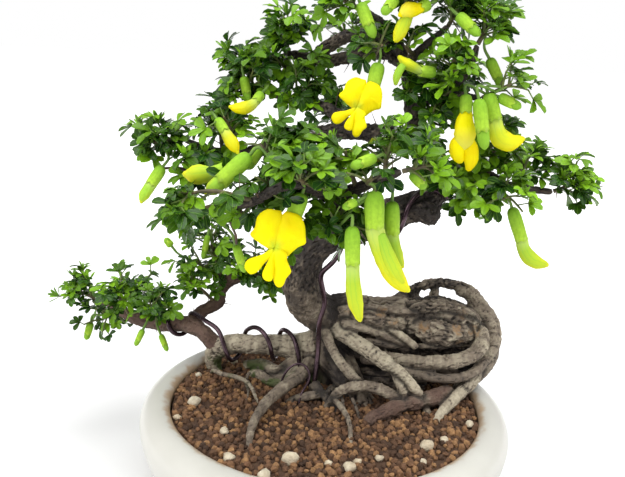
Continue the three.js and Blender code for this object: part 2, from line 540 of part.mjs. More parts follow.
// Closed green buds on the stems: base, then tip, and the thickest radius
const BUDS = [
  { stem: "front_low", at: 0.45, from: [-1.5, -38, 76], to: [-5, -41, 74.5], r: 1.4 },
  { stem: "front_right", at: 0.5, from: [9, -34.5, 88.6], to: [2.6, -38, 86.4], r: 1.6 },
  { stem: "front_end", at: 0.3, from: [20.3, -30, 83], to: [24.4, -29, 77.6], r: 1.7 },
  { stem: "crown_left", at: 0.3, from: [4, -2, 128.6], to: [8.6, -4, 119], r: 1.9 },
  { stem: "crown_tip", at: 0.3, from: [14.2, -4.5, 130.4], to: [10.5, -7, 125.6], r: 1.7 },
  { stem: "crown_right_tip", at: 0.62, from: [32, -6, 126.4], to: [38.4, -8.6, 121], r: 1.8 },
  { stem: "east_tip", at: 0.62, from: [43.6, -3, 118], to: [47.8, -2.6, 109], r: 1.8 },
  { stem: "east_blooms", at: 0.9, from: [49.6, -8, 105.6], to: [56.4, -9, 101.6], r: 1.7 },
  { stem: "east_blooms", at: 0.45, from: [41, -13.4, 102.6], to: [43.4, -15.4, 89.6], r: 2.2 },
  { stem: "high_left_tip", at: 0.3, from: [-31, 14, 105], to: [-29.4, 12.4, 97], r: 1.6 },
  { stem: "front_tip", at: 0.3, from: [-33, -30, 66], to: [-29.5, -24, 54], r: 1.5 },
  { stem: "low_up_top", at: 0.6, from: [-45.5, 32, 45], to: [-46.6, 31, 36], r: 1.3 },
  { stem: "low_under", at: 0.6, from: [-92.6, 46, 5], to: [-94.4, 45, -2], r: 1.5 },
  { stem: "low_mid", at: 0.25, from: [-60.4, 24, 10], to: [-57, 22, 3.6], r: 1.4 },
  { stem: "low_mid", at: 0.6, from: [-66.6, 23, 12], to: [-69.6, 21, 5.4], r: 1.4 },
];

// Leafy stems: the limb each grows from, where on it, its tip, and how many leaves it carries
const STEMS = {
  front_top: ["front", 0.6, [-13, -29, 90], 3],
  front_left_top: ["front", 0.72, [-22, -29, 90], 2],
  front_left: ["front", 0.86, [-33, -42, 80], 3],
  front_tip: ["front", 1, [-42, -36, 71], 3],
  front_bloom: ["front", 0.66, [-11, -46, 84], 3],
  front_low: ["front", 0.4, [0, -33, 68], 3],
  front_right_top: ["front_fork", 0.45, [1, -34, 90], 3],
  front_buds: ["front_fork", 0.62, [8, -42, 84], 2],
  front_right: ["front_fork", 0.82, [13, -27, 92], 2],
  front_end: ["front_fork", 1, [24, -37, 88], 2],
  left_top: ["left_high", 0.76, [-36, 4, 93], 2],
  left_low: ["left_high", 0.9, [-45, -1, 76], 3],
  left_tip: ["left_high", 1, [-58, 4, 84], 3],
  left_back: ["left_high", 0.84, [-42, 23, 92], 2],
  high_left_tip: ["crown_high", 1, [-40, 15, 108], 3],
  high_left_top: ["crown_high", 0.72, [-17, 22, 121], 2],
  high_left_low: ["left_fork", 1, [-30, 16, 103], 2],
  crown_left: ["crown_top", 1, [-3, 3, 130], 2],
  crown_tip: ["trunk", 1, [20, -1, 133], 2],
  crown_front: ["crown_low", 0.25, [11, -6, 117], 2],
  crown_back: ["crown_low", 0.6, [6, 28, 119], 2],
  east_tip: ["east", 1, [43, -2, 126], 2],
  east_front: ["east", 0.62, [32, -10, 116], 2],
  east_blooms: ["east_low", 1, [49, -9, 108], 2],
  east_back: ["east", 0.45, [38, 14, 107], 2],
  crown_right_tip: ["crown_right", 1, [34, 4, 129], 2],
  right_tip: ["right", 1, [75, 0, 78], 3],
  right_back: ["right", 0.75, [62, 14, 84], 2],
  right_front: ["right", 0.6, [50, -11, 74], 2],
  right_top: ["right", 0.45, [48, -3, 90], 3],
  rear_tip: ["rear", 1, [-1, 43, 94], 3],
  low_tip: ["low_left", 1, [-97, 42, 20], 2],
  low_front: ["low_left", 0.75, [-77, 28, 25], 3],
  low_back: ["low_left", 0.7, [-75, 52, 20], 2],
  low_under: ["low_left", 0.88, [-89, 49, 5], 2],
  low_mid: ["low_left", 0.5, [-63, 23, 22], 2],
  low_up_top: ["low_up_twig", 1, [-44, 34, 46], 2],
  low_up_end: ["low_up", 1, [-15, 26, 34], 2],
};

const stems = {};
for (const [name, [limbName, share, tip]] of Object.entries(STEMS)) {
  const root = limbs[limbName].at(share);
  const goal = new THREE.Vector3(...tip);
  const out = share === 1 ? goal.clone().sub(root.centre).normalize() : squareTo(root.along, goal.clone().sub(root.centre));
  const lift = share === 1 ? root.radius * (1 - 0.6 * out.dot(root.along)) : root.radius * 1.17;
  const start = root.centre.clone().addScaledVector(out, lift + GAP + 0.4 * STEM_R);
  const middle = start.clone().lerp(goal, 0.5).addScaledVector(out, 0.12 * start.distanceTo(goal));
  stems[name] = new Limb([
    [...start.toArray(), STEM_R],
    [...middle.toArray(), STEM_R],
    [...goal.toArray(), STEM_R * 0.9],
  ]);
}

// The stalk of a bloom leaves its stem, bends clear of the bark and comes to the base from behind
function stalkOf(stemName, share, base, tip) {
  const root = stems[stemName].at(share).centre;
  const length = THREE.MathUtils.clamp(0.4 * root.distanceTo(base), 1.2, 3.5);
  const behind = base.clone().sub(tip).setLength(length).add(base);
  return { root, bend: clearOfWood(behind, PEDICEL_R + GAP) };
}

// A bud and its stalk, as rings round the points given, each with its radius
const BUD_SIDES = 5;

function budSolid({ stem, at, from, to, r }) {
  const [start, end] = [new THREE.Vector3(...from), new THREE.Vector3(...to)];
  const { root, bend } = stalkOf(stem, at, start, end);
  const rings = [
    [root, PEDICEL_R], [bend, PEDICEL_R], [start, PEDICEL_R * 1.1], [start.clone().lerp(end, 0.2), r * 0.85],
    [start.clone().lerp(end, 0.62), r], [end, r * 0.36],
  ];
  const positions = [];
  const triangles = [];
  let across = null;
  rings.forEach(([centre, radius], index) => {
    const before = rings[Math.max(0, index - 1)][0];
    const after = rings[Math.min(rings.length - 1, index + 1)][0];
    const along = after.clone().sub(before).normalize();
    across = squareTo(along, across);
    const aside = new THREE.Vector3().crossVectors(along, across);
    for (let side = 0; side < BUD_SIDES; side += 1) {
      const angle = (2 * Math.PI * side) / BUD_SIDES;
      const point = centre.clone().addScaledVector(across, radius * Math.cos(angle));
      positions.push(point.addScaledVector(aside, radius * Math.sin(angle)).toArray());
    }
  });
  const top = (rings.length - 1) * BUD_SIDES;
  for (let side = 0; side < BUD_SIDES; side += 1) {
    const next = (side + 1) % BUD_SIDES;
    for (let low = 0; low < top; low += BUD_SIDES) {
      triangles.push([low + side, low + next, low + BUD_SIDES + next]);
      triangles.push([low + side, low + BUD_SIDES + next, low + BUD_SIDES + side]);
    }
    if (side > 0 && next > 0) triangles.push([0, next, side], [top, top + side, top + next]);
  }
  return solidOf(meshFrom(positions, triangles));
}

// Solids placed so far, by node, for keeping each leaf clear of its neighbours,
// and those but the stems, for keeping the leaves of one node apart
const placed = [];
const crowding = [];

function keep(node, solid) {
  placed.push({ node, solid, box: solid.boundingBox() });
}

function boxesMeet(a, b) {
  return [0, 1, 2].every((axis) => a.min[axis] <= b.max[axis] && b.min[axis] <= a.max[axis]);
}

function meetsNeighbour(solid, node) {
  const box = solid.boundingBox();
  return placed.some(
    (other) => other.node !== node && boxesMeet(box, other.box) && solid.intersect(other.solid).volume() > 0,
  );
}

const wood = largestBody(joined(woodPieces(0)));
keep("wood", wood);

const wireSolids = {};
for (const name of Object.keys(WIRES)) {
  wireSolids[name] = tubeSolid(wirePoints(name, 0), WIRE_FACETS);
  keep(name, wireSolids[name]);
}

const petalSolids = {};
const greenParts = {};
for (const [name, stem] of Object.entries(stems)) {
  greenParts[name] = [solidOf(tube(stem, { sides: 4, step: 9 }))];
}
for (const bloom of BLOOMS) {
  const [base, mouth] = bloom.calyx.map((point) => new THREE.Vector3(...point));
  const stalk = stalkOf(bloom.stem, bloom.at, base, mouth);
  greenParts[bloom.stem].push(calyxSolid({ ...stalk, base, mouth, radius: bloom.r }));
  const start = base.clone().lerp(mouth, 0.92).toArray();
  petalSolids[bloom.name] = bloom.open
    ? openFlower({ ...bloom.open, claw: start })
    : tubeSolid([[...start, 0.4 * bloom.r], ...bloom.petals], {
        sides: 6,
        step: 4,
        shape: bloom.flat,
        guide: new THREE.Vector3(1, 0, 0),
      });
  keep(bloom.name, petalSolids[bloom.name]);
}
for (const bud of BUDS) greenParts[bud.stem].push(budSolid(bud));
for (const [name, parts] of Object.entries(greenParts)) {
  parts.forEach((part) => keep(name, part));
  parts.slice(1).forEach((part) => crowding.push({ node: name, solid: part, box: part.boundingBox() }));
}

// Leaves round each stem, each drawn again until it is clear of every other node
const GOLDEN_TURN = 2.39996;
const LEAF_TRIES = 90;
const LEAF_SEED = 911;
const LIGHT = new THREE.Vector3(0, -0.35, 1).normalize();

function leafAt(stemName, share, turn, draw) {
  const root = stems[stemName].at(share);
  const across = squareTo(root.along);
  const aside = new THREE.Vector3().crossVectors(root.along, across);
  const out = across
    .clone()
    .multiplyScalar(Math.cos(turn))
    .addScaledVector(aside, Math.sin(turn))
    .addScaledVector(root.along, 0.35 + 0.7 * share + 0.3 * draw())
    .addScaledVector(LIGHT, 0.35 * draw())
    .normalize();
  const heart = root.centre.clone().addScaledVector(out, 4.5 + 3.5 * draw());
  const tilt = new THREE.Vector3(draw() - 0.5, draw() - 0.5, draw() - 0.5).multiplyScalar(0.9);
  const face = LIGHT.clone().addScaledVector(root.along, 0.3).add(tilt).normalize();
  const along = squareTo(face, out);
  const frame = new THREE.Matrix4()
    .makeBasis(along, new THREE.Vector3().crossVectors(face, along), face)
    .setPosition(heart);
  return { frame, root: root.centre.clone().applyMatrix4(frame.clone().invert()), scale: 0.86 + 0.22 * draw() };
}

function leafSolid({ frame, root, scale }, rise) {
  return solidOf(leafGeometry({ scale, rise, root: root.toArray() }).applyMatrix4(frame));
}

// Leaves of one stem share a root, so they may touch there but not where they spread
const SHARED_ROOT_MM3 = 0.14;
const STALK_BEHIND = 1.6;

function meetsOwn(solid, node) {
  const box = solid.boundingBox();
  return crowding.some(
    (other) =>
      other.node === node && boxesMeet(box, other.box) && solid.intersect(other.solid).volume() > SHARED_ROOT_MM3,
  );
}

Object.entries(STEMS).forEach(([name, [, , , leaves]], order) => {
  const draw = seeded(LEAF_SEED + order);
  for (let leaf = 0; leaf < leaves; leaf += 1) {
    const share = leaves === 1 ? 1 : 0.25 + (0.75 * leaf) / (leaves - 1);
    let done = false;
    for (let round = 0; round < LEAF_TRIES && !done; round += 1) {
      const turn = leaf * GOLDEN_TURN + order + round * 0.9 + draw();
      const place = leafAt(name, Math.min(0.94, share + 0.1 * (draw() - 0.5)), turn, draw);
      if (place.root.x > -STALK_BEHIND) continue;
      const wide = leafSolid({ ...place, scale: place.scale * 1.07 }, BLADE_RISE + 0.3);
      if (meetsOwn(wide, name) || meetsNeighbour(wide, name)) continue;
      const blade = leafSolid(place, BLADE_RISE);
      keep(name, blade);
      crowding.push({ node: name, solid: blade, box: blade.boundingBox() });
      greenParts[name].push(blade);
      done = true;
    }
  }
});

// Soil: a bowl of granules, with plain holes where wood and wires go in
function grainHeight(x, y, draw) {
  const mound = MOUND.height * Math.exp(-((x - MOUND.x) ** 2 + (y - MOUND.y) ** 2) / (2 * MOUND.spread ** 2));
  const stones = PUMICE.reduce((most, stone) => {
    const away = Math.hypot(x - stone.x, y - stone.y);
    return Math.max(most, away < stone.r ? 1.6 : 0);
  }, 0);
  const edge = Math.hypot(x, y) > LIP_INNER_R - 6 ? -0.7 : 0;
  return mound + stones + edge + GRAIN_RELIEF * (2 * draw() - 1);
}

function grainBlock() {
  const draw = seeded(77);
  const cells = Math.ceil((2 * (SOIL_R + 3)) / GRAIN_STEP);
  const count = cells + 1;
  const positions = [];
  const triangles = [];
  for (let row = 0; row < count; row += 1) {
    for (let column = 0; column < count; column += 1) {
      const shift = row % 2 ? 0.25 : -0.25;
      const x = (column - cells / 2 + shift) * GRAIN_STEP;
      const y = (row - cells / 2) * GRAIN_STEP;
      positions.push([x, y, grainHeight(x, y, draw)]);
    }
  }
  for (let row = 0; row < cells; row += 1) {
    for (let column = 0; column < cells; column += 1) {
      const a = row * count + column;
      const b = a + 1;
      const c = a + count;
      const d = c + 1;
      if (row % 2) triangles.push([a, b, c], [b, d, c]);
      else triangles.push([a, b, d], [a, d, c]);
    }
  }
  const under = positions.push([0, 0, FLOOR_Z - 30]) - 1;
  const rim = [];
  for (let column = 0; column < cells; column += 1) rim.push(column);
  for (let row = 0; row < cells; row += 1) rim.push(row * count + cells);
  for (let column = cells; column > 0; column -= 1) rim.push(cells * count + column);
  for (let row = cells; row > 0; row -= 1) rim.push(row * count);
  rim.forEach((vertex, index) => triangles.push([rim[(index + 1) % rim.length], vertex, under]));
  return solidOf(meshFrom(positions, triangles));
}

function lathe(profile) {
  const geometry = new THREE.LatheGeometry(
    profile.map(([r, z]) => new THREE.Vector2(r, z)),
    POT_SIDES,
  );
  return solidOf(geometry.rotateX(Math.PI / 2));
}

const SOIL_BOWL = [
  [0, FLOOR_Z + GAP], [35.2, FLOOR_Z + GAP], [47.2, -20.7], [SOIL_R, -6], [SOIL_R, 8], [0, 8],
];
const meshSeat = new THREE.BoxGeometry(MESH_SIZE + 1.4, MESH_SIZE + 1.4, 2 * (MESH_THICKNESS + GAP));
let soil = lathe(SOIL_BOWL).intersect(grainBlock());
soil = soil.subtract(solidOf(meshSeat.translate(0, 0, FLOOR_Z + GAP)));
soil = soil.subtract(joined(woodPieces(GAP)));
for (const name of Object.keys(WIRES)) {
  soil = soil.subtract(tubeSolid(wirePoints(name, GAP), WIRE_FACETS));
}
soil = largestBody(soil);

// Pot: a thrown bowl with a broad rounded lip, a foot ring and a drain hole
const POT_PROFILE = [
  [DRAIN_HOLE_R, FLOOR_UNDER_Z], [FOOT_INNER_R - 1, FLOOR_UNDER_Z], [FOOT_INNER_R, FOOT_Z], [FOOT_OUTER_R, FOOT_Z],
  [44, -33], [54, -24], [59.8, -13], [LIP_OUTER_R, -5], [59, -1], [54.5, LIP_TOP_Z], [LIP_INNER_R, 0],
  [52.5, -9], [48, -21], [36, FLOOR_Z], [DRAIN_HOLE_R, FLOOR_Z], [DRAIN_HOLE_R, FLOOR_UNDER_Z],
];
const pot = lathe(POT_PROFILE);

// Drain mesh: a square net of plastic over the drain hole
function drainMesh() {
  const plate = new THREE.BoxGeometry(MESH_SIZE, MESH_SIZE, MESH_THICKNESS);
  let net = solidOf(plate);
  for (const row of [-0.5, 0.5]) {
    for (const column of [-0.5, 0.5]) {
      const opening = new THREE.BoxGeometry(MESH_OPENING, MESH_OPENING, 2 * MESH_THICKNESS);
      net = net.subtract(solidOf(opening.translate(column * MESH_PITCH, row * MESH_PITCH, 0)));
    }
  }
  return net.translate([0, 0, FLOOR_Z + GAP + MESH_THICKNESS / 2]);
}

// Finishes
const finishes = {
  glaze: new THREE.MeshStandardMaterial({ color: 0xd9d8cf, roughness: 0.32, metalness: 0 }),
  granules: new THREE.MeshStandardMaterial({ color: 0x7a4a2b, roughness: 0.95, metalness: 0 }),
  net: new THREE.MeshStandardMaterial({ color: 0x22252a, roughness: 0.6, metalness: 0 }),
  bark: new THREE.MeshStandardMaterial({ color: 0x6b5b4b, roughness: 0.85, metalness: 0 }),
  anodised: new THREE.MeshStandardMaterial({ color: 0x3a2c33, roughness: 0.4, metalness: 0.7 }),
  leaf: new THREE.MeshStandardMaterial({ color: 0x3f8a2b, roughness: 0.45, metalness: 0, flatShading: true }),
  petal: new THREE.MeshStandardMaterial({ color: 0xf6e018, roughness: 0.5, metalness: 0 }),
};

const plant = new THREE.Group();
function addNode(name, solid, finish) {
  const mesh = new THREE.Mesh(geometryOf(solid), finishes[finish]);
  mesh.name = name;
  plant.add(mesh);
}

addNode("pot", pot, "glaze");
addNode("drain_mesh", drainMesh(), "net");
addNode("soil", soil, "granules");
addNode("wood", wood, "bark");
for (const [name, solid] of Object.entries(wireSolids)) addNode(name, solid, "anodised");
for (const [name, parts] of Object.entries(greenParts)) addNode(`spray_${name}`, largestBody(joined(parts)), "leaf");
for (const [name, solid] of Object.entries(petalSolids)) addNode(name, solid, "petal");

// The origin goes to the middle of the whole box, at the foot ring
const whole = new THREE.Box3().setFromObject(plant);
const middleOfBox = whole.getCenter(new THREE.Vector3());
plant.position.set(-middleOfBox.x, -middleOfBox.y, -whole.min.z);

const bonsai = new THREE.Group();
bonsai.add(plant);
export default bonsai;
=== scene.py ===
"""A small flowering caragana bonsai in a round glazed bowl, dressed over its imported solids."""

import math
import random
from collections import namedtuple

import bmesh
import bpy
from mathutils import Matrix, Vector, noise
from mathutils.kdtree import KDTree


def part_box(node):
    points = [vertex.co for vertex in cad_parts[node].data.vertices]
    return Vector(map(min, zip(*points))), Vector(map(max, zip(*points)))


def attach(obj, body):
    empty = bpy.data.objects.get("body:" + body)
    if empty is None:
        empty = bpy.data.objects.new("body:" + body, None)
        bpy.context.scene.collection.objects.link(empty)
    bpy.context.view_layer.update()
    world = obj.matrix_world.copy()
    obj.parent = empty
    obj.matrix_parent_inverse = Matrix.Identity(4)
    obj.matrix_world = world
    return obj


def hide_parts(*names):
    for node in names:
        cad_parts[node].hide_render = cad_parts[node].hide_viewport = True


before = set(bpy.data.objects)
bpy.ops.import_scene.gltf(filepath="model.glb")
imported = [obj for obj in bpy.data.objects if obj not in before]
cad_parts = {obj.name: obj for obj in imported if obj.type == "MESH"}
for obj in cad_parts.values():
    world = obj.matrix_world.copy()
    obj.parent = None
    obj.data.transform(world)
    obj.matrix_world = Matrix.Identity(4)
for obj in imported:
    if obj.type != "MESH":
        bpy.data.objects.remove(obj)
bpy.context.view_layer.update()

bl_info = {
    "name": "Flowering caragana bonsai",
    "version": (1, 0, 0),
    "blender": (4, 5, 0),
    "location": "3D View > Sidebar > Bonsai",
    "description": "Pot, soil, wood, wires, leaves and blooms of a small caragana bonsai",
    "category": "Add Mesh",
}

# Everything below is given in millimetres from the pot's axis, at the height of the soil
MM = 0.001
SOIL_ABOVE_FOOT = 38
POT_LOW, POT_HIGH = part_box("pot")
AXIS_X = (POT_LOW.x + POT_HIGH.x) / 2
AXIS_Y = (POT_LOW.y + POT_HIGH.y) / 2
ORIGIN = Vector((AXIS_X, AXIS_Y, POT_LOW.z + SOIL_ABOVE_FOOT * MM))

# Camera
PHOTO_WIDTH = 625
FOCAL_PIXELS = 760
SENSOR_MM = 36
CAMERA_AT = (-6.6, -234.1, 120.2)
CAMERA_DOWN = 15.3
CAMERA_ROLL = 2.69

# Pot: its profile, from the drain hole under it round the lip to the drain hole inside
POT_PROFILE = [
    (6, -34.5), (20, -34.5), (33.4, -34.6), (34.4, -36), (35, -37.6), (36, -38), (40, -38), (41, -37.5),
    (42, -35.4), (44.6, -32.4), (49.4, -28.4), (54, -23.8), (57.4, -18.6), (59.6, -13), (60.9, -8.4),
    (61.2, -5), (60.4, -2.2), (58.6, -0.2), (56.4, 0.9), (54.2, 1.2), (52.4, 0.7), (51.4, -0.6),
    (51.6, -3), (52.3, -8), (51.2, -15), (47.6, -21.4), (42, -26.4), (35.6, -29), (28, -29.5), (6, -29.5),
]

# Soil: its radius at the top, its lower rings, and its mound with centre, height and spread
SOIL_R = 50.8
SOIL_LOW_RINGS = [(SOIL_R, -6), (47.2, -20.7), (35.2, -29.1)]
MOUND = (6, 6, 2.4, 21)
# Pumice stones: x, y and size
PUMICE = [
    (-43, -7, 4.4), (-47, -16, 2.6), (-31, -25, 3), (-28, -38, 3.2), (-10, -39, 5.2), (-17, -47, 4.6),
    (1, -40, 2.2), (7, -42, 4), (9.5, -38, 2.4), (16, -36, 2.4), (31, -28, 4.4), (37, -23, 2.8), (47, -12, 3),
    (-34, 26, 3.6), (-12, 42, 4), (19, 40, 3.2), (38, 28, 4.2), (-45, 14, 2.6), (2, 46, 2.6), (29, -36, 2.2),
]

# Trunk and roots: for each limb its bark, its paleness, and points with their radius
ROOTS = {
    "trunk": ("cracked", 0.12, [
        (1, 14, -2, 8), (1, 14, 9, 7), (1.2, 13, 22, 6.6), (-7.6, 10, 31.5, 6.9), (-9.5, 6, 41.5, 5.8),
        (-6.5, 4, 51, 5.2), (1.5, 4, 57, 5), (12.5, 6, 60.5, 5), (23, 9, 65, 5), (32, 12, 68, 4.8),
        (35, 14, 74, 4.2), (32, 13, 82, 3.6), (26.5, 11, 89.5, 3.6), (23, 9, 97.5, 2.5),
        (21.5, 7, 104.5, 2.3), (19, 6, 112, 2), (16.5, 4, 119, 1.6), (17.5, 2, 125, 1.1),
    ]),
    "cut_stub": ("cracked", 0.05, [(24, 9, 66, 4), (29, 5, 65.5, 3.6), (31.5, 1, 65, 3.2)]),
    "gnarl": ("cracked", 0.5, [
        (3, 13, 24.5, 8.6), (9, 14, 25.5, 7.7), (18, 15, 25, 6.8), (29, 17, 24.5, 7.3), (40, 18, 24, 8.2),
        (48, 19, 21.5, 7.4), (53.5, 20, 17, 5.6),
    ]),
    "gnarl_foot": ("cracked", 0.1, [(8, 14, 15, 6), (20, 17, 12, 6.3), (34, 20, 11, 6.8), (50, 20, 9, 5)]),
    "limb": ("ringed", 0.72, [
        (-3, 13, 13, 7), (-11, 14, 12.5, 4.2), (-20, 15, 12.5, 3.6), (-29, 17, 11.5, 3.6),
        (-36.5, 19, 9.5, 3.8), (-40.5, 20, 5.5, 3.4), (-40, 20, 1, 2.8), (-38.5, 18, -3, 2.2),
    ]),
    "arch": ("cracked", 0.26, [
        (24, 20, 28.5, 3), (28.5, 22, 32, 2.2), (34, 24, 34.3, 1.8), (40, 25, 35, 1.9), (46, 25, 34.3, 2),
        (50.5, 24, 32, 2.6), (54, 22, 28, 2.8),
    ]),
    "outer_root": ("ringed", 0.56, [
        (46, 24, 33, 2), (50.5, 24, 32, 2.7), (54, 22, 28, 3.2), (57.5, 20, 23.5, 3.4), (58.9, 18, 18, 3.3),
        (58, 16, 11.5, 3.2), (54.5, 13, 7.2, 3), (50, 9.5, 4.6, 2.8), (44.5, 3.5, 1.5, 2.5),
        (40, -1.5, -0.8, 2.2), (37.5, -5, -3.5, 1.8),
    ]),
    "arch_strut": ("cracked", 0.34, [(36, 20, 28, 2.1), (37.6, 23, 31.4, 1.7), (38.6, 25, 34.6, 1.6)]),
    "ring": ("ringed", 0.62, [
        (12, 8, 15, 2), (20, 5, 14, 2.2), (28.5, 4, 13.5, 2.4), (37, 4, 13.5, 2.6), (45.5, 5, 14.5, 2.6),
        (51.5, 8, 16.5, 2.6), (54, 12, 19, 2.6), (53, 16, 22, 2.6), (47, 18, 22.5, 2.4),
    ]),
    "ring_low": ("ringed", 0.36, [
        (23, 4, 12, 1.6), (27, 2, 10.5, 1.7), (35, 1, 9.5, 1.7), (44, 2, 9, 1.7), (50.5, 5, 10, 1.7),
        (56.5, 11, 12.5, 1.7),
    ]),
    "pale_root": ("ringed", 0.82, [
        (0, 11, 24, 3.2), (7.5, 4, 21, 2.7), (14.5, 0, 18, 2.7), (20, -3, 15.5, 2.8), (24.5, -5, 12.5, 2.2),
        (31, -6, 6, 1.8), (35, -6, -2, 1.4),
    ]),
    "pale_fork": ("ringed", 0.7, [(21, -3.5, 15, 2), (24.5, -6, 9.5, 1.8), (26, -9, 2, 1.4)]),
    "side_root": ("ringed", 0.6, [
        (-1.5, 8, 23, 2.2), (1, 2, 19, 1.7), (4.5, -1, 14.5, 1.7), (8.5, -3, 10.5, 1.8), (13, -5, 7, 1.8),
    ]),
    "plum_root": ("plum", 0.3, [
        (12, -17, -3, 1.6), (14, -15, 1, 1.9), (19.5, -12, 2.5, 2.5), (26, -8, 3.5, 2.8), (35, -4, 4, 2.8),
        (42, 3, 3.5, 2.6),
    ]),
    "bow_root": ("ringed", 0.4, [
        (-1, -7.5, -4, 1.5), (1.5, -7, 2.5, 1.6), (5.5, -6, 6.5, 1.8), (11, -6, 8.4, 2), (18, -6, 7.5, 2),
        (25, -7.5, 5, 1.8),
    ]),
    "fine_root": ("ringed", 0.5, [
        (2.5, -7, 4, 1.2), (5.5, -13, 3.6, 1), (7.5, -21, 3, 0.9), (8, -28, -1.5, 0.8),
    ]),
    "sickle_root": ("ringed", 0.4, [
        (-3, 11, 12, 3), (-8.5, 1, 8, 2.3), (-14, -5, 6, 2.1), (-19, -12, 4, 1.8), (-22, -20, 2, 1.5),
        (-22.8, -28, 0.6, 1.2), (-22.5, -33, -2.4, 0.9),
    ]),
    "base_left": ("cracked", 0.4, [(-2, 14, 12, 6), (-10, 12, 5, 5), (-20, 10, -1, 3.6)]),
    "base_front": ("cracked", 0.35, [(2, 10, 12, 6), (8, 3, 6, 5), (14, -3, -1, 3.6)]),
}
# Branches, in the same way
BRANCHES = {
    "low_left": ("plum", 0.24, [
        (-38.5, 19.5, 8, 3.4), (-44.5, 22, 13, 2.8), (-50, 26, 14, 3), (-59.5, 32, 11.5, 2.8),
        (-67.5, 36, 10.5, 2.6), (-76, 39, 11.5, 2.2), (-82.5, 41, 14.5, 1.6), (-89, 43, 16, 1.2),
    ]),
    "low_up": ("plum", 0.2, [
        (-50, 26, 13.5, 2.6), (-46, 31, 18, 2.3), (-40.5, 33, 21, 2.3), (-39.5, 34, 25.5, 2),
        (-36, 34, 30, 2.8), (-30, 33, 31, 2), (-24.5, 31, 30.5, 1.2),
    ]),
    "low_up_twig": ("plum", 0.2, [(-38.5, 34, 27, 1.4), (-41, 35, 31, 1.1), (-42, 36, 36, 0.9)]),
    "left_high": ("cracked", 0.08, [
        (27.5, 11.5, 87.5, 3.4), (16.5, 8, 89.5, 2.8), (5, 6, 90, 2.8), (-4, 6, 89.5, 2.4),
        (-12.5, 7, 87, 2), (-23, 9, 83.5, 1.6), (-33, 11, 81, 1.3), (-42, 12, 81.5, 1.1), (-49, 9, 84.5, 0.9),
    ]),
    "left_fork": ("cracked", 0.08, [
        (3, 6, 90, 2.4), (-1.5, 9, 95.5, 2.2), (-9.5, 14, 97.5, 1.8), (-18, 18, 98.5, 1.4), (-25, 22, 100.5, 1),
    ]),
    "crown_high": ("cracked", 0.16, [
        (16.8, 4, 118, 2), (8, 10, 120, 2), (0.5, 16, 118.5, 2), (-4.5, 20, 115.5, 2.2), (-10, 24, 111.5, 2),
        (-16.5, 26, 112, 1.5), (-25, 24, 109, 1.2), (-33, 20, 110, 0.9),
    ]),
    "crown_low": ("cracked", 0.16, [
        (19, 6, 112, 2.2), (12, 12, 114.5, 2.2), (4.5, 17, 113, 2.2), (-2.5, 21, 111, 2), (-9, 24, 111, 1.8),
    ]),
    "crown_top": ("cracked", 0.1, [(17, 4, 117.5, 1.5), (12, 3, 123, 1.2), (5, 4, 127, 0.9)]),
    "crown_right": ("cracked", 0.1, [(19.2, 6, 111, 1.7), (25, 0, 118, 1.3), (30, -3, 123, 0.9)]),
    "east": ("cracked", 0.1, [
        (23, 9, 97, 2.3), (29, 5, 103, 1.9), (35, 1, 107, 1.6), (38, -2, 113, 1.3), (39, -3, 118, 0.9),
    ]),
    "east_low": ("cracked", 0.1, [(29, 5, 102.5, 1.5), (35, -1, 103.5, 1.2), (41, -6, 103, 0.9)]),
    "right": ("cracked", 0.06, [
        (35, 13, 72.5, 3.6), (41, 8, 75, 2.6), (47, 4, 78, 2.2), (53, 2, 76, 1.8), (61, 2, 75, 1.4),
        (68, 2, 74.5, 1),
    ]),
    "rear": ("cracked", 0.1, [(33, 13.5, 80, 2.9), (27, 25, 84, 2.2), (17, 34, 87, 1.7), (5, 40, 88, 1.1)]),
    "front": ("cracked", 0.08, [
        (6, 4, 58.5, 4.2), (3, -8, 66.5, 3.2), (-0.5, -20, 73.5, 2.6), (-5, -30, 78, 2.2),
        (-10.5, -36, 81, 1.8), (-16, -37, 80, 1.5), (-22, -35.6, 75.8, 1.3), (-29, -36.4, 73.6, 1.1),
        (-33.5, -37.4, 74, 0.9),
    ]),
    "front_fork": ("cracked", 0.08, [
        (-1, -21, 74, 2.4), (4.5, -28, 78.5, 1.8), (10.5, -32, 82, 1.4), (16, -34, 85, 1),
    ]),
}
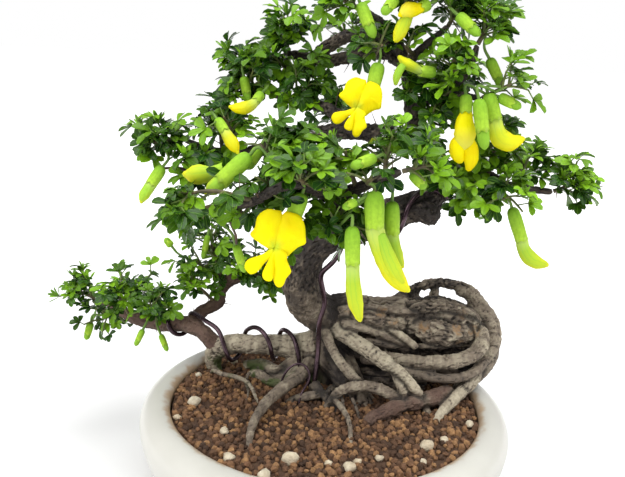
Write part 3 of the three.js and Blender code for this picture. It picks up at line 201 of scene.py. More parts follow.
# Finer strands of the root mass, which lie on the thick roots
STRANDS = {
    "arch_web": ("cracked", 0.3, [(26, 19, 27, 2.6), (29.5, 21.5, 31, 2), (32, 23, 33, 1.4)]),
    "fist": ("cracked", 0.52, [
        (32, 12.5, 23.4, 4.2), (38, 11.4, 22, 5.6), (44, 12.6, 20.6, 4.8), (48, 14, 19.6, 3),
    ]),
    "brow": ("cracked", 0.42, [(29, 12, 29, 2.4), (37, 13.4, 30, 2.6), (46, 15.5, 28, 3), (53, 17, 23, 2.4)]),
    "knee": ("cracked", 0.48, [(10, 9, 29, 3), (16, 8.6, 27, 3.4), (23, 10, 24.5, 3)]),
    "strand_top": ("ringed", 0.5, [
        (3, 7.6, 29.6, 1.8), (11, 8, 30.6, 1.6), (20, 9.4, 30, 1.5), (30, 11, 28.6, 1.6),
    ]),
    "strand_mid": ("ringed", 0.5, [(6, 5.6, 25, 1.6), (13, 6, 23.6, 1.5), (20, 7, 21, 1.5), (26, 7, 18, 1.3)]),
    "strand_fist": ("ringed", 0.6, [(20, 8, 24.6, 1.4), (25, 7, 21.4, 1.5), (30.5, 6.6, 17.6, 1.4)]),
    "strand_ring": ("ringed", 0.34, [
        (13, 5.6, 19.6, 1.3), (21, 6.6, 18, 1.2), (31, 8, 17.6, 1.1), (40, 9.4, 17, 1), (47, 11, 17.4, 1),
    ]),
    "strand_low": ("ringed", 0.26, [(12, 6, 12.6, 1.5), (22, 8, 10.4, 1.6), (33, 9, 9, 1.6), (46, 10, 8, 1.4)]),
    "strand_foot": ("ringed", 0.8, [
        (56, 14, 8.6, 2), (49.7, 6, 5.2, 2.4), (44, -1, 3.4, 2.1), (38.3, -8, 1.2, 1.7),
        (35.6, -11.6, -1.4, 1.2),
    ]),
    # Painted shade: a near-black root that fills the dark gap behind the ring
    "ring_back_shade": ("cracked", 0.02, [
        (38, 18, 6, 4), (47.4, 20, 4.4, 4.4), (54, 20, 6, 3.8), (57, 17.6, 10, 2.4),
    ]),
    # Painted shade: a near-black root that fills the dark gap under the roots in front
    "shade_root": ("cracked", 0.04, [(2, 11, 8, 4.4), (12, 9, 5.4, 4.6), (22, 9, 4, 4.6), (34, 11, 3, 4.2)]),
    "twig_root": ("ringed", 0.6, [
        (-41, 16, -1, 0.6), (-40.3, 15.5, 1, 0.8), (-35.7, 7.3, 4, 0.9), (-30.5, 3.4, 5, 0.9),
        (-26.5, 1.2, 4.4, 0.8), (-24.2, -1.7, 3, 0.8), (-22, -4.5, -1, 0.6),
    ]),
    "hair_root": ("ringed", 0.3, [
        (5.6, -6, 4.5, 0.7), (6.2, -10.2, 2.4, 0.65), (7.7, -15.8, 1.2, 0.6), (8.1, -18.1, -1, 0.5),
    ]),
    "hair_root_right": ("ringed", 0.3, [
        (8.7, -8.1, 5, 0.7), (10.4, -11.2, 2.4, 0.65), (11, -15.1, 1, 0.6), (12.6, -16.5, -1, 0.5),
    ]),
    "hair_root_left": ("ringed", 0.3, [
        (-26.3, 9.9, 4, 0.7), (-27.5, 8.4, 1.6, 0.65), (-25.9, -0.2, 1.4, 0.6), (-26.3, -2.8, -1, 0.5),
    ]),
    "tangle_back": ("cracked", 0.3, [
        (-29, 18, 3, 1.6), (-22.7, 17, 4, 2), (-17.2, 10.6, 5, 2), (-9, 11, 6, 2),
    ]),
    "tangle_low": ("cracked", 0.24, [
        (-27, 17, -1, 1.6), (-23.8, 13, 2, 1.9), (-18.9, 5.4, 3, 1.7), (-13, 4, 3, 1.8), (-8, 8, 2, 1.6),
    ]),
    "tangle_front": ("ringed", 0.34, [
        (-14, -6, -1.6, 1.1), (-11, -4.8, 1.4, 1.4), (-6, -4.4, 3, 1.6), (0, -3.4, 3.6, 1.7), (3, 2, 3, 1.8),
    ]),
    "tangle_right": ("cracked", 0.3, [(-4, 0, 5, 2.2), (1, -5.4, 2.6, 1.7), (5, -10, -0.6, 1.3)]),
}
# Cut wounds on the root mass, from which the bark is gone: place and size
WOUNDS = [
    (8, 4.6, 30, 2.6), (18, 7, 29.6, 1.8), (22, 7.4, 25.6, 1.8), (33, 8.6, 24.6, 2.2), (44, 9.6, 23.6, 2.4),
    (47, 11, 28.6, 2.4), (51, 12, 22.4, 2.4), (46, 8.6, 18.4, 1.8), (-7, 3.4, 17, 1.6), (2.4, 0.6, 16.8, 1.4),
]

# Limbs of the root mass that run into one another without a seam
CORE_LIMBS = (
    "trunk", "cut_stub", "gnarl", "gnarl_foot", "limb", "arch", "outer_root", "base_left", "base_front", "knee",
)

# Training wires
WIRES = {
    "wire_limb": (0.8, [
        (-4, 5, -5), (-5.5, 5, 3), (-8, 7, 10), (-11, 10, 17), (-15, 15, 18.5), (-17, 20, 14), (-17.5, 17, 7.5),
        (-18.5, 10, 9.5), (-20, 10, 16), (-24, 14, 19), (-29, 20, 15), (-30.5, 20, 8), (-33.5, 13.5, 6),
        (-36, 14, 12), (-38.5, 17, 16.5), (-43, 20, 18), (-48, 26, 18), (-51, 30, 14), (-53, 28, 9.5),
        (-56.5, 26, 10.5), (-59, 30, 16), (-63, 36, 15.5),
    ]),
    "wire_trunk": (0.85, [
        (-5, -2, -6), (-4, 0, 2), (-3.5, 1, 9), (-3, 2, 14.5), (-3, 2.5, 21), (-3, 2, 27.5), (-1.5, 2, 33.5),
        (-2.5, 1, 39), (-3.5, 0, 44.5), (-0.5, -1.5, 48), (2, -2, 52), (3.5, -2.5, 57), (8, -1, 63.5),
        (13, 6, 67), (17.5, 12, 64), (19, 10, 58), (21, 3.5, 61), (24, 4, 68), (29.5, 6, 73), (36, 7, 70.5),
        (40, 11, 67),
    ]),
    "tie_wire": (0.4, [
        (-16, 1, -4), (-15, 2, 4), (-13, 3, 9), (-9, 3, 11.5), (-5, -1, 9), (-8, -5, 4), (-9, -8, -4),
    ]),
}

# Leafy stems: the limb each grows from, where on it, and its tip
STEMS = {
    "front_top": ("front", 0.6, (-13, -29, 90)),
    "front_left_top": ("front", 0.72, (-22, -29, 90)),
    "front_left": ("front", 0.86, (-41, -40, 77.4)),
    "front_tip": ("front", 1, (-42, -36, 71)),
    "front_bloom": ("front", 0.66, (-11, -46, 84)),
    "front_low": ("front", 0.4, (0, -33, 68)),
    "front_right_top": ("front_fork", 0.45, (1, -34, 90)),
    "front_buds": ("front_fork", 0.62, (8, -42, 84)),
    "front_right": ("front_fork", 0.82, (13, -27, 92)),
    "front_end": ("front_fork", 1, (24, -37, 88)),
    "left_top": ("left_high", 0.76, (-36, 4, 93)),
    "left_low": ("left_high", 0.9, (-45, -1, 76)),
    "left_tip": ("left_high", 1, (-58, 4, 84)),
    "left_back": ("left_high", 0.84, (-42, 23, 92)),
    "high_left_tip": ("crown_high", 0.9, (-32, 17.6, 106)),
    "high_left_top": ("crown_high", 0.72, (-17, 22, 121)),
    "high_left_low": ("left_fork", 1, (-30, 16, 103)),
    "crown_left": ("crown_top", 1, (-3, 3, 130)),
    "crown_tip": ("trunk", 1, (20, -1, 133)),
    "crown_front": ("crown_low", 0.25, (11, -6, 117)),
    "crown_back": ("crown_low", 0.6, (6, 28, 119)),
    "east_tip": ("east", 1, (43, -2, 126)),
    "east_front": ("east", 0.62, (32, -10, 116)),
    "east_blooms": ("east_low", 1, (49, -9, 108)),
    "east_back": ("east", 0.45, (38, 14, 107)),
    "crown_right_tip": ("crown_right", 1, (34, 4, 129)),
    "right_tip": ("right", 1, (75, 0, 78)),
    "right_back": ("right", 0.75, (62, 14, 84)),
    "right_front": ("right", 0.6, (50, -11, 74)),
    "right_top": ("right", 0.45, (48, -3, 90)),
    "rear_tip": ("rear", 1, (-1, 43, 94)),
    "low_tip": ("low_left", 1, (-97, 42, 20)),
    "low_front": ("low_left", 0.75, (-77, 28, 25)),
    "low_back": ("low_left", 0.7, (-75, 52, 20)),
    "low_under": ("low_left", 0.88, (-89, 49, 5)),
    "low_mid": ("low_left", 0.5, (-63, 23, 22)),
    "low_up_top": ("low_up_twig", 1, (-44, 34, 46)),
    "low_up_end": ("low_up", 1, (-15, 26, 34)),
}
STEM_R = 0.75

# Finer shoots that fill the foliage between the leafy stems: limb, place on it and tip
FILL_STEMS = {
    "front_fill": ("front", 0.68, (-21, -30, 77.4)),
    "front_fill_low": ("front", 0.78, (-26.4, -28, 72.8)),
    "front_fill_mid": ("front", 0.5, (-14.9, -26, 78.1)),
    "front_fill_top": ("front", 0.56, (-10.8, -30, 82)),
    "east_fill": ("east", 0.3, (29.7, -2, 101.6)),
    "east_fill_low": ("east", 0.12, (34, 1, 97)),
    "east_fill_left": ("east", 0.2, (25, 1, 105.6)),
    "crown_fill": ("crown_right", 0.3, (18.1, -3, 117)),
    "high_fill": ("crown_high", 0.72, (-19, 18, 105.6)),
    "high_fill_right": ("crown_high", 0.56, (-11.6, 18, 106.4)),
    "high_fill_low": ("left_fork", 0.62, (-13.5, 12, 100.4)),
    "right_fill": ("right", 0.12, (35.6, -5, 78.6)),
    "right_fill_low": ("right", 0.3, (43, -5, 72)),
    "centre_fill": ("trunk", 0.72, (25.5, -1, 85.5)),
    "low_up_a": ("low_up", 0.62, (-41.9, 32, 39)),
    "low_up_b": ("low_up_twig", 0.6, (-48.8, 30, 37.4)),
    "low_up_c": ("low_up", 0.74, (-31.8, 30, 36.4)),
    "low_up_d": ("low_up", 0.9, (-23.5, 28, 33.6)),
    "low_up_e": ("low_up", 0.35, (-50.5, 27, 30.5)),
}
ALL_STEMS = {**STEMS, **FILL_STEMS}

# Parts of the plant with more young leaves, or fewer
TENDER = {"right": 0.36, "east": 0.25, "crown": 0.26, "high": 0.14, "left": 0.06, "low": 0.06, "front": -0.05}

# Single leaves that stand out: where their leaflets meet, the way they point to, and youth
PLACED_LEAVES = [
    ((-12.3, -33, 60.8), (-6.1, -34, 64.5), 0.3),
    ((-32.5, -36, 74.6), (-27.8, -37, 70.7), 0.85),
    ((-14.6, -37, 76.8), (-10, -38, 79.6), 0),
    ((-31, -30, 80.9), (-34.6, -31, 85.3), 0.05),
    ((-43.9, -28, 68.2), (-49.8, -29, 69.3), 0.5),
    ((-36.6, -32, 72.1), (-36.7, -33, 65.9), 0.05),
    ((-14, -33, 91.7), (-11.7, -34, 87.4), 0.55),
    ((-3.2, -34, 82.4), (-4.6, -35, 77.1), 0.85),
    ((11.6, -33, 82.4), (16.3, -34, 78.4), 0),
    ((-0.9, -35, 83.2), (-2.2, -36, 77.7), 0.8),
    ((-8.9, -32, 70.1), (-5.1, -33, 66), 0.1),
]

# Dry twigs without leaves
DRY_TWIGS = [
    ((-11, -29, 87, 0.6), (-8.7, -33.4, 85.6, 0.75), (-5.4, -33, 83.7, 0.35)),
    ((-29, -36, 73.4, 0.4), (-29.4, -31, 68, 0.36), (-28, -29, 63.8, 0.36), (-28.2, -27, 60.8, 0.36)),
    ((-45, -1, 76, 0.6), (-49, 0, 76.8, 0.6), (-55, 2, 76.2, 0.4)),
    ((-9.4, -35, 78.6, 0.36), (-12.6, -34.8, 70, 0.34), (-13, -33.6, 62, 0.3)),
]

# Blooms: their stem and place on it, the calyx from base to mouth, its radius, how ripe they are from 0
# for green to over 1 for deep yellow, how flat, and their route with its radius. An open flower has no
# ripeness or flatness, and gives its throat, the way it faces, the way up and its size
BLOOMS = {
    "front_open": ("front_bloom", 0.16, (-9.9, -36.4, 78.4), (-12.4, -36.8, 70.8), 2.3, None, None, (
        (-16.3, -41.2, 65), (-0.04, -0.96, 0.12), (-0.06, 0.12, 1), 1)),
    "front_long": ("front_low", 0.9, (3.8, -38, 70.4), (4.6, -38, 59.7), 2.15, 0.2, (1, 0.8), (
        (4.8, -38.2, 56.4, 1.9), (5.3, -38.5, 52.4, 2.2), (6.1, -38.8, 48.6, 2.1), (7.3, -39.3, 44.8, 1))),
    "front_broad": ("front_buds", 0.5, (9.1, -36.8, 80), (9.9, -37, 70), 2.7, 0.36, (1.1, 0.8), (
        (10.9, -37, 66.8, 2.4), (13.2, -37.3, 62, 2.6), (15.7, -37.6, 57.6, 2.6), (18.2, -37.9, 54.6, 1.8),
        (19.8, -38, 53.4, 0.9))),
    "front_third": ("front_buds", 0.25, (14.6, -31, 76.2), (15.4, -31, 66.8), 2.1, 0.1, (1, 0.9), (
        (15.9, -31, 64.2, 1.9), (17, -31, 61, 1.9), (18.6, -31.4, 58.2, 0.9))),
    "crown_open": ("crown_front", 0.8, (10.6, -3.4, 111.8), (9.2, -5, 105), 2.2, None, None, (
        (4.6, -10.6, 99.6), (-0.06, -0.93, 0.2), (0.1, 0.2, 1), 0.86)),
    "crown_top": ("crown_tip", 0.85, (24, -4, 129.2), (21.4, -5, 127.8), 1.8, 1.2, (1, 0.9), (
        (19.8, -5.4, 127.4, 2.1), (17.6, -5.8, 127, 2.5), (15.8, -6, 125.8, 1.1))),
    "crown_side": ("east_front", 0.6, (27.4, -5, 109.8), (22.6, -5.5, 110.2), 1.8, 0.25, (1, 0.8), (
        (20.8, -5.7, 111, 1.9), (18.2, -5.9, 112.2, 2.1), (16.5, -6, 113.6, 0.9))),
    "east_hanging": ("east_blooms", 0.2, (36.2, -8, 104.2), (36.6, -9, 98.9), 1.9, 1.3, (1.15, 0.8), (
        (36.4, -9.4, 96.4, 2.3), (36.7, -10, 92.8, 2.9), (36.5, -10, 90, 2.3), (36.2, -9.8, 88.2, 0.9))),
    "east_curved": ("east_blooms", 0.75, (42.6, -8.5, 104.8), (45.3, -9.5, 97.3), 2.2, 0.45, (1, 0.8), (
        (45.8, -10, 94.6, 2.4), (47.2, -10.4, 92.2, 3), (50, -10.8, 91.2, 2.8), (53.3, -11, 92.3, 1.1))),
    "right_hanging": ("right_front", 0.5, (54, -6, 70.6), (58.2, -6.4, 60.4), 2.1, 0.15, (1.1, 0.8), (
        (58.9, -6.5, 58, 1.8), (61, -6.6, 55.2, 2.2), (63.8, -6.8, 53.6, 1.9), (66.4, -7, 53.2, 1))),
    "left_high": ("high_left_low", 0.7, (-24.6, 8, 100.5), (-26.4, 6, 98), 1.6, 0.5, (1, 0.9), (
        (-27.6, 5.4, 96.9, 1.8), (-29.7, 4.5, 96, 2.2), (-32, 3.6, 95.9, 1.7), (-33.6, 3, 96.2, 0.8))),
    "left_front": ("front_left_top", 0.75, (-28.5, -23, 82.8), (-35.3, -24.5, 80.5), 2, 0.2, (1, 1), (
        (-36.6, -24.9, 80.2, 2.3), (-38.8, -25.5, 80.1, 2.9), (-41, -25.8, 80, 2.5), (-42.6, -26, 80.1, 1.1))),
    "left_mid": ("left_top", 0.3, (-38, 3, 92.3), (-34.9, 0, 88.7), 1.7, 0.5, (1.1, 0.9), (
        (-33.9, -0.8, 87.4, 1.7), (-32.8, -1.6, 86, 2), (-31.6, -2.5, 84.4, 1.5), (-30.9, -3, 83.4, 0.7))),
    "left_bud": ("front_left_top", 0.4, (-24.4, -32, 87.3), (-32, -33, 79.8), 2.4, 0, (1, 0.9), (
        (-33.2, -33.2, 78.7, 2.1), (-34.4, -33.3, 77.7, 2), (-35.5, -33.4, 76.8, 1))),
    "left_tip": ("left_tip", 0.8, (-54.4, 0, 77), (-57.6, -3, 71.6), 1.9, 0, (1.1, 0.9), (
        (-58.4, -3.7, 70.2, 1.6), (-59.3, -4.6, 68.6, 1.6), (-59.9, -5, 67, 0.8))),
}

# More petals that curl out of a bloom: ripeness, flatness and route with its radius
LOOSE_PETALS = [
    (1.3, (1, 0.7), (
        (36, -9.4, 92, 1.6), (34.8, -9.8, 89.4, 2.4), (35.2, -10, 86.6, 2.2), (36.4, -10, 84.6, 1))),
    (1.3, (1, 0.7), (
        (37.4, -9.2, 91.6, 1.7), (38.8, -9.4, 88.6, 2.4), (39.3, -9.6, 85.2, 2.3), (38.8, -9.8, 82.2, 0.9))),
    (0.35, (1, 0.6), (
        (18.6, -4.8, 126.6, 1.2), (17, -5.4, 123.4, 2), (15.6, -6, 120.2, 1.9), (14.7, -6.2, 118.2, 0.7))),
    (0, (1, 0.8), (
        (18.4, -6.2, 112.4, 0.9), (16.6, -7, 110.4, 1.2), (15.7, -7.6, 108, 1.2), (15.5, -8, 106, 0.5))),
    (0.2, (1, 0.5), (
        (11.6, -38.4, 68.6, 1.2), (13.9, -39, 63, 1.9), (16.3, -39.2, 58.6, 1.9), (18.4, -39, 55.6, 0.8))),
]

# Closed green buds: their stem and place on it, base, tip and thickest radius
BUDS = [
    ("front_low", 0.6, (4.6, -38, 77.3), (1, -39, 75.5), 1.2),
    ("front_right", 0.5, (9, -34.5, 88.6), (2.6, -38, 86.4), 1.6),
    ("front_end", 0.3, (19.6, -30, 84.1), (23.6, -29, 79.9), 1.7),
    ("crown_left", 0.3, (4, -2, 128.6), (8.6, -4, 119), 1.9),
    ("crown_tip", 0.3, (14.2, -4.5, 130.4), (10.5, -7, 125.6), 1.7),
    ("crown_right_tip", 0.62, (32, -6, 126.4), (38.4, -8.6, 121), 1.8),
    ("east_tip", 0.62, (43, -3, 114.6), (47.8, -2.6, 106.5), 1.7),
    ("east_blooms", 0.85, (45.8, -8, 104), (52.4, -9, 101.2), 1.7),
    ("east_blooms", 0.45, (39, -13.4, 103.5), (41.8, -15.4, 89.5), 2.1),
    ("high_left_tip", 0.3, (-31, 14, 105), (-29.4, 12.4, 97), 1.6),
    ("front_tip", 0.3, (-28.3, -27, 60.6), (-25.7, -26, 52.3), 1.3),
    ("low_up_top", 0.6, (-44.6, 32, 46.9), (-46.2, 31, 38), 1.2),
    ("front_left_top", 0.45, (-22, -29, 88.8), (-25.4, -29, 82.9), 1.7),
    ("low_up_b", 0.9, (-57.4, 30, 42.6), (-59.8, 30, 45.4), 1.35),
    ("low_under", 0.6, (-92.6, 46, 5), (-94.4, 45, -2), 1.5),
    ("low_mid", 0.25, (-60.4, 24, 10.6), (-57.6, 22, 5), 1.15),
    ("low_mid", 0.6, (-66.6, 23, 12.6), (-69, 21, 7), 1.15),
]
PEDICEL_R = 0.42


# Where light comes from, the turn from one leaf to the next, and the layer that holds patterns
SIDEWAYS = Vector((1, 0, 0))
LIGHT = Vector((0, -0.35, 1)).normalized()
GOLDEN_TURN = 2.39996
UV_LAYER = "UVMap"


# Small tools


def clamp(value):
    """A value held between 0 and 1."""
    return max(0.0, min(1.0, value))


def smooth_step(share):
    """A share held between 0 and 1, with soft ends."""
    share = clamp(share)
    return share * share * (3 - 2 * share)


def circle(sides):
    """Angles spread evenly over a full turn."""
    return [2 * math.pi * side / sides for side in range(sides)]


def stretched(point, stretch):
    """A point with each of its coordinates stretched."""
    return Vector([a * b for a, b in zip(point, stretch)])


def place(point):
    """A point in millimetres from the pot's axis, as a place in the frame."""
    return ORIGIN + Vector(point[:3]) * MM


def square_to(direction, like=None):
    """A direction at right angles to the one given, as near as can be to another."""
    guide = like or (Vector((1, 0, 0)) if abs(direction.z) > 0.9 else Vector((0, 0, 1)))
    return (guide - direction * guide.dot(direction)).normalized()


def new_object(name, data):
    """An object at the origin."""
    made = bpy.data.objects.new(name, data)
    bpy.context.scene.collection.objects.link(made)
    return made


def new_mesh(name, points, edges, faces):
    """A mesh from points in metres."""
    mesh = bpy.data.meshes.new(name)
    mesh.from_pydata(points, edges, faces)
    return mesh


def new_piece(name, points, faces, material=None):
    """A smooth mesh object, with its place in its mesh."""
    mesh = new_mesh(name, [place(point) for point in points], [], faces)
    if material:
        mesh.materials.append(material)
    mesh.polygons.foreach_set("use_smooth", [True] * len(mesh.polygons))
    mesh.update()
    return new_object(name, mesh)


def add_values(mesh, name, values, kind="FLOAT", domain="POINT"):
    """Stores one value for each point or face of a mesh."""
    layer = mesh.attributes.new(name, kind, domain)
    if kind == "QUATERNION":
        for item, value in zip(layer.data, values):
            item.value = value
    else:
        layer.data.foreach_set("value", values)


def evaluated(piece):
    """Applies the live modifiers of a piece and leaves a plain mesh."""
    bpy.context.view_layer.update()
    graph = bpy.context.evaluated_depsgraph_get()
    mesh = bpy.data.meshes.new_from_object(piece.evaluated_get(graph), depsgraph=graph)
    mesh.name = piece.name
    piece.modifiers.clear()
    old = piece.data
    piece.data = mesh
    bpy.data.meshes.remove(old)
    return piece


def ride_on(piece, slot, *nodes):
    """Fixes a piece to the plant, and hides the nodes that it stands for."""
    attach(piece, "root")
    if nodes:
        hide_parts(*nodes)


class Route:
    """A rounded path through points with a radius each, with places read off by its length."""

    def __init__(self, points, step=0.8):
        places = [Vector(point[:3]) for point in points]
        sizes = [point[3] if len(point) > 3 else 1 for point in points]
        ends = [places[0] * 2 - places[1]] + places + [places[-1] * 2 - places[-2]]
        self.centres = []
        self.sizes = []
        for index in range(len(places) - 1):
            before, start, end, after = ends[index:index + 4]
            pairs = ((before, start), (start, end), (end, after))
            first, middle, last = [max(1e-4, math.sqrt((b - a).length)) for a, b in pairs]
            leave = (start - before) / first - (end - before) / (first + middle) + (end - start) / middle
            arrive = (end - start) / middle - (after - start) / (middle + last) + (after - end) / last
            leave *= middle
            arrive *= middle
            count = max(2, round((end - start).length / step))
            for part in range(count + (index == len(places) - 2)):
                t = part / count
                self.centres.append(
                    start * (2 * t**3 - 3 * t**2 + 1)
                    + leave * (t**3 - 2 * t**2 + t)
                    + end * (3 * t**2 - 2 * t**3)
                    + arrive * (t**3 - t**2)
                )
                self.sizes.append(sizes[index] + (sizes[index + 1] - sizes[index]) * t)
        self.lengths = [0]
        for a, b in zip(self.centres, self.centres[1:]):
            self.lengths.append(self.lengths[-1] + (b - a).length)
        self.length = self.lengths[-1]

    def at(self, share):
        """Centre, direction and radius at a share of the length."""
        goal = share * self.length
        index = 0
        while index < len(self.lengths) - 2 and self.lengths[index + 1] < goal:
            index += 1
        span = self.lengths[index + 1] - self.lengths[index]
        t = (goal - self.lengths[index]) / span if span else 0
        a, b = self.centres[index:index + 2]
        size, next_size = self.sizes[index:index + 2]
        return a.lerp(b, t), (b - a).normalized(), size + (next_size - size) * t

    def along(self, count):
        """Centres, directions and radii at even steps."""
        return [self.at(index / count) for index in range(count + 1)]


WOOD = {**ROOTS, **BRANCHES}
ALL_LIMBS = {**WOOD, **STRANDS}
LIMBS = {name: Route(points) for name, (_, _, points) in ALL_LIMBS.items()}


def stem_route(name):
    """The path of a leafy stem, from the bark of its limb to its tip."""
    limb, share, tip = ALL_STEMS[name]
    centre, along, radius = LIMBS[limb].at(share)
    goal = Vector(tip)
    toward = goal - centre
    out = toward.normalized() if share == 1 else square_to(along, toward)
    start = centre + out * (radius * 0.6)
    middle = start.lerp(goal, 0.5) + out * 0.12 * (goal - start).length
    return Route([(*start, STEM_R), (*middle, STEM_R * 0.8), (*goal, STEM_R * 0.5)])


# Node trees


class Tree:
    """A small helper that adds nodes to a tree and joins them."""

    def __init__(self, tree):
        self.tree = tree

    def socket(self, label, kind, direction, default=None):
        """Gives the tree an input or an output."""
        made = self.tree.interface.new_socket(label, in_out=direction, socket_type=f"NodeSocket{kind}")
        if default is not None:
            made.default_value = default

    def node(self, kind, inputs=None, **settings):
        """A node with its settings, and with values or other nodes on its inputs."""
        made = self.tree.nodes.new(kind)
        for name, value in settings.items():
            setattr(made, name, value)
        for key, value in (inputs or {}).items():
            self.feed(made.inputs[key], value)
        return made

    def feed(self, socket, value):
        """Joins a socket to another or to a node's first output, or gives it a value."""
        if isinstance(value, bpy.types.NodeSocket):
            self.tree.links.new(value, socket)
        elif isinstance(value, bpy.types.Node):
            self.tree.links.new(value.outputs[0], socket)
        else:
            socket.default_value = value

    def math(self, operation, first, second=0.0, clamp=False):
        made = self.node("ShaderNodeMath", {0: first, 1: second}, operation=operation, use_clamp=clamp)
        return made.outputs[0]

    def times(self, first, second):
        return self.math("MULTIPLY", first, second)

    def plus(self, first, second):
        return self.math("ADD", first, second)

    def larger(self, first, second):
        return self.math("MAXIMUM", first, second)

    def vector_math(self, operation, first, second):
        return self.node("ShaderNodeVectorMath", {0: first, 1: second}, operation=operation).outputs[0]

    def length(self, vector):
        return self.node("ShaderNodeVectorMath", {0: vector}, operation="LENGTH").outputs["Value"]

    def parts(self, vector):
        """The X, Y and Z of a vector."""
        return self.node("ShaderNodeSeparateXYZ", {"Vector": vector}).outputs

    def rise(self, value, low, high):
        """A mask that goes softly from 0 to 1 between two values."""
        ends = {"Value": value, "From Min": low, "From Max": high}
        return self.node("ShaderNodeMapRange", ends, interpolation_type="SMOOTHSTEP").outputs[0]

    def fall(self, value, low, high):
        """A mask that goes softly from 1 to 0 between two values."""
        return self.math("SUBTRACT", 1.0, self.rise(value, low, high), clamp=True)


class GeometryTree(Tree):
    """A geometry tree with named inputs, which ends in real meshes with their material."""

    def __init__(self, name, sockets):
        super().__init__(bpy.data.node_groups.new(name, "GeometryNodeTree"))
        self.socket("Geometry", "Geometry", "OUTPUT")
        self.socket("Geometry", "Geometry", "INPUT")
        for label, (kind, default) in sockets.items():
            self.socket(label, kind, "INPUT", default)
        self.socket("Material", "Material", "INPUT")
        self.given = self.node("NodeGroupInput").outputs

    def stored(self, name, kind="FLOAT"):
        """A value stored on the mesh."""
        return self.node("GeometryNodeInputNamedAttribute", {"Name": name}, data_type=kind).outputs[0]

    def shapes_on(self, points, inputs):
        """The given shapes set on points, one on each."""
        settings = {"Collection": self.given["Shapes"], "Separate Children": True, "Reset Children": True}
        shapes = self.node("GeometryNodeCollectionInfo", settings)
        wanted = {"Points": points, "Instance": shapes, "Pick Instance": True, **inputs}
        return self.node("GeometryNodeInstanceOnPoints", wanted)

    def finish(self, geometry, smooth=True):
        """Ends the tree."""
        real = self.node("GeometryNodeRealizeInstances", {"Geometry": geometry})
        shaded = self.node("GeometryNodeSetShadeSmooth", {"Geometry": real, "Shade Smooth": smooth})
        inputs = {"Geometry": shaded, "Material": self.given["Material"]}
        dressed = self.node("GeometryNodeSetMaterial", inputs)
        self.node("NodeGroupOutput", {"Geometry": dressed})
        return self

    def run(self, piece, values):
        """Runs the tree on a piece and leaves a plain mesh."""
        modifier = piece.modifiers.new(self.tree.name, "NODES")
        modifier.node_group = self.tree
        for item in self.tree.interface.items_tree:
            if item.in_out == "INPUT" and item.name in values:
                modifier[item.identifier] = values[item.name]
        return evaluated(piece)


def rod_tree():
    """Round rods along the edges of a mesh, as thick as its thickness values say."""
    made = GeometryTree("Rods along paths", {"Sides": ("Int", 8)})
    path = made.node("GeometryNodeMeshToCurve", {"Mesh": made.given["Geometry"]})
    ring = made.node("GeometryNodeCurvePrimitiveCircle", {"Resolution": made.given["Sides"], "Radius": 1.0})
    inputs = {"Curve": path, "Profile Curve": ring, "Scale": made.stored("thickness"), "Fill Caps": True}
    return made.finish(made.node("GeometryNodeCurveToMesh", inputs))


def rods(name, routes, sides, material, fresh=None):
    """One piece of round rods, one for each route of points with a radius, and how green each is."""
    points = []
    edges = []
    sizes = []
    greens = []
    for order, route in enumerate(routes):
        for index, (centre, size) in enumerate(route):
            if index:
                edges.append((len(points) - 1, len(points)))
            points.append(place(centre))
            sizes.append(size * MM)
            greens.append(fresh[order] if fresh else 0.0)
    mesh = new_mesh(name, points, edges, [])
    add_values(mesh, "thickness", sizes)
    add_values(mesh, "fresh", greens)
    return rod_tree().run(new_object(name, mesh), {"Sides": sides, "Material": material})


# Materials


def mottle_group():
    """Soft patches over a surface, as one mask and one height."""
    name = "Mottle"
    if name in bpy.data.node_groups:
        return bpy.data.node_groups[name]
    made = Tree(bpy.data.node_groups.new(name, "ShaderNodeTree"))
    for label, default in (("Scale", 200.0), ("Detail", 4.0), ("Stretch", 1.0)):
        made.socket(label, "Float", "INPUT", default)
    for label in ("Mask", "Height"):
        made.socket(label, "Float", "OUTPUT")
    given = made.node("NodeGroupInput").outputs
    spot = made.node("ShaderNodeTexCoord").outputs["Object"]
    stretch = made.node("ShaderNodeCombineXYZ", {"X": 1.0, "Y": 1.0, "Z": given["Stretch"]})
    spot = made.vector_math("MULTIPLY", spot, stretch)
    inputs = {"Vector": spot, "Scale": given["Scale"], "Detail": given["Detail"]}
    broad = made.node("ShaderNodeTexNoise", inputs)
    fine_scale = made.times(given["Scale"], 4.3)
    fine = made.node("ShaderNodeTexNoise", {"Vector": spot, "Scale": fine_scale, "Detail": 3.0})
    mask = made.node("ShaderNodeMapRange", {"Value": broad, "From Min": 0.36, "From Max": 0.64})
    made.node("NodeGroupOutput", {"Mask": mask, "Height": fine})
    return made.tree


def rgba(colour):
    """A colour with its opacity."""
    return (*colour[:3], 1.0)


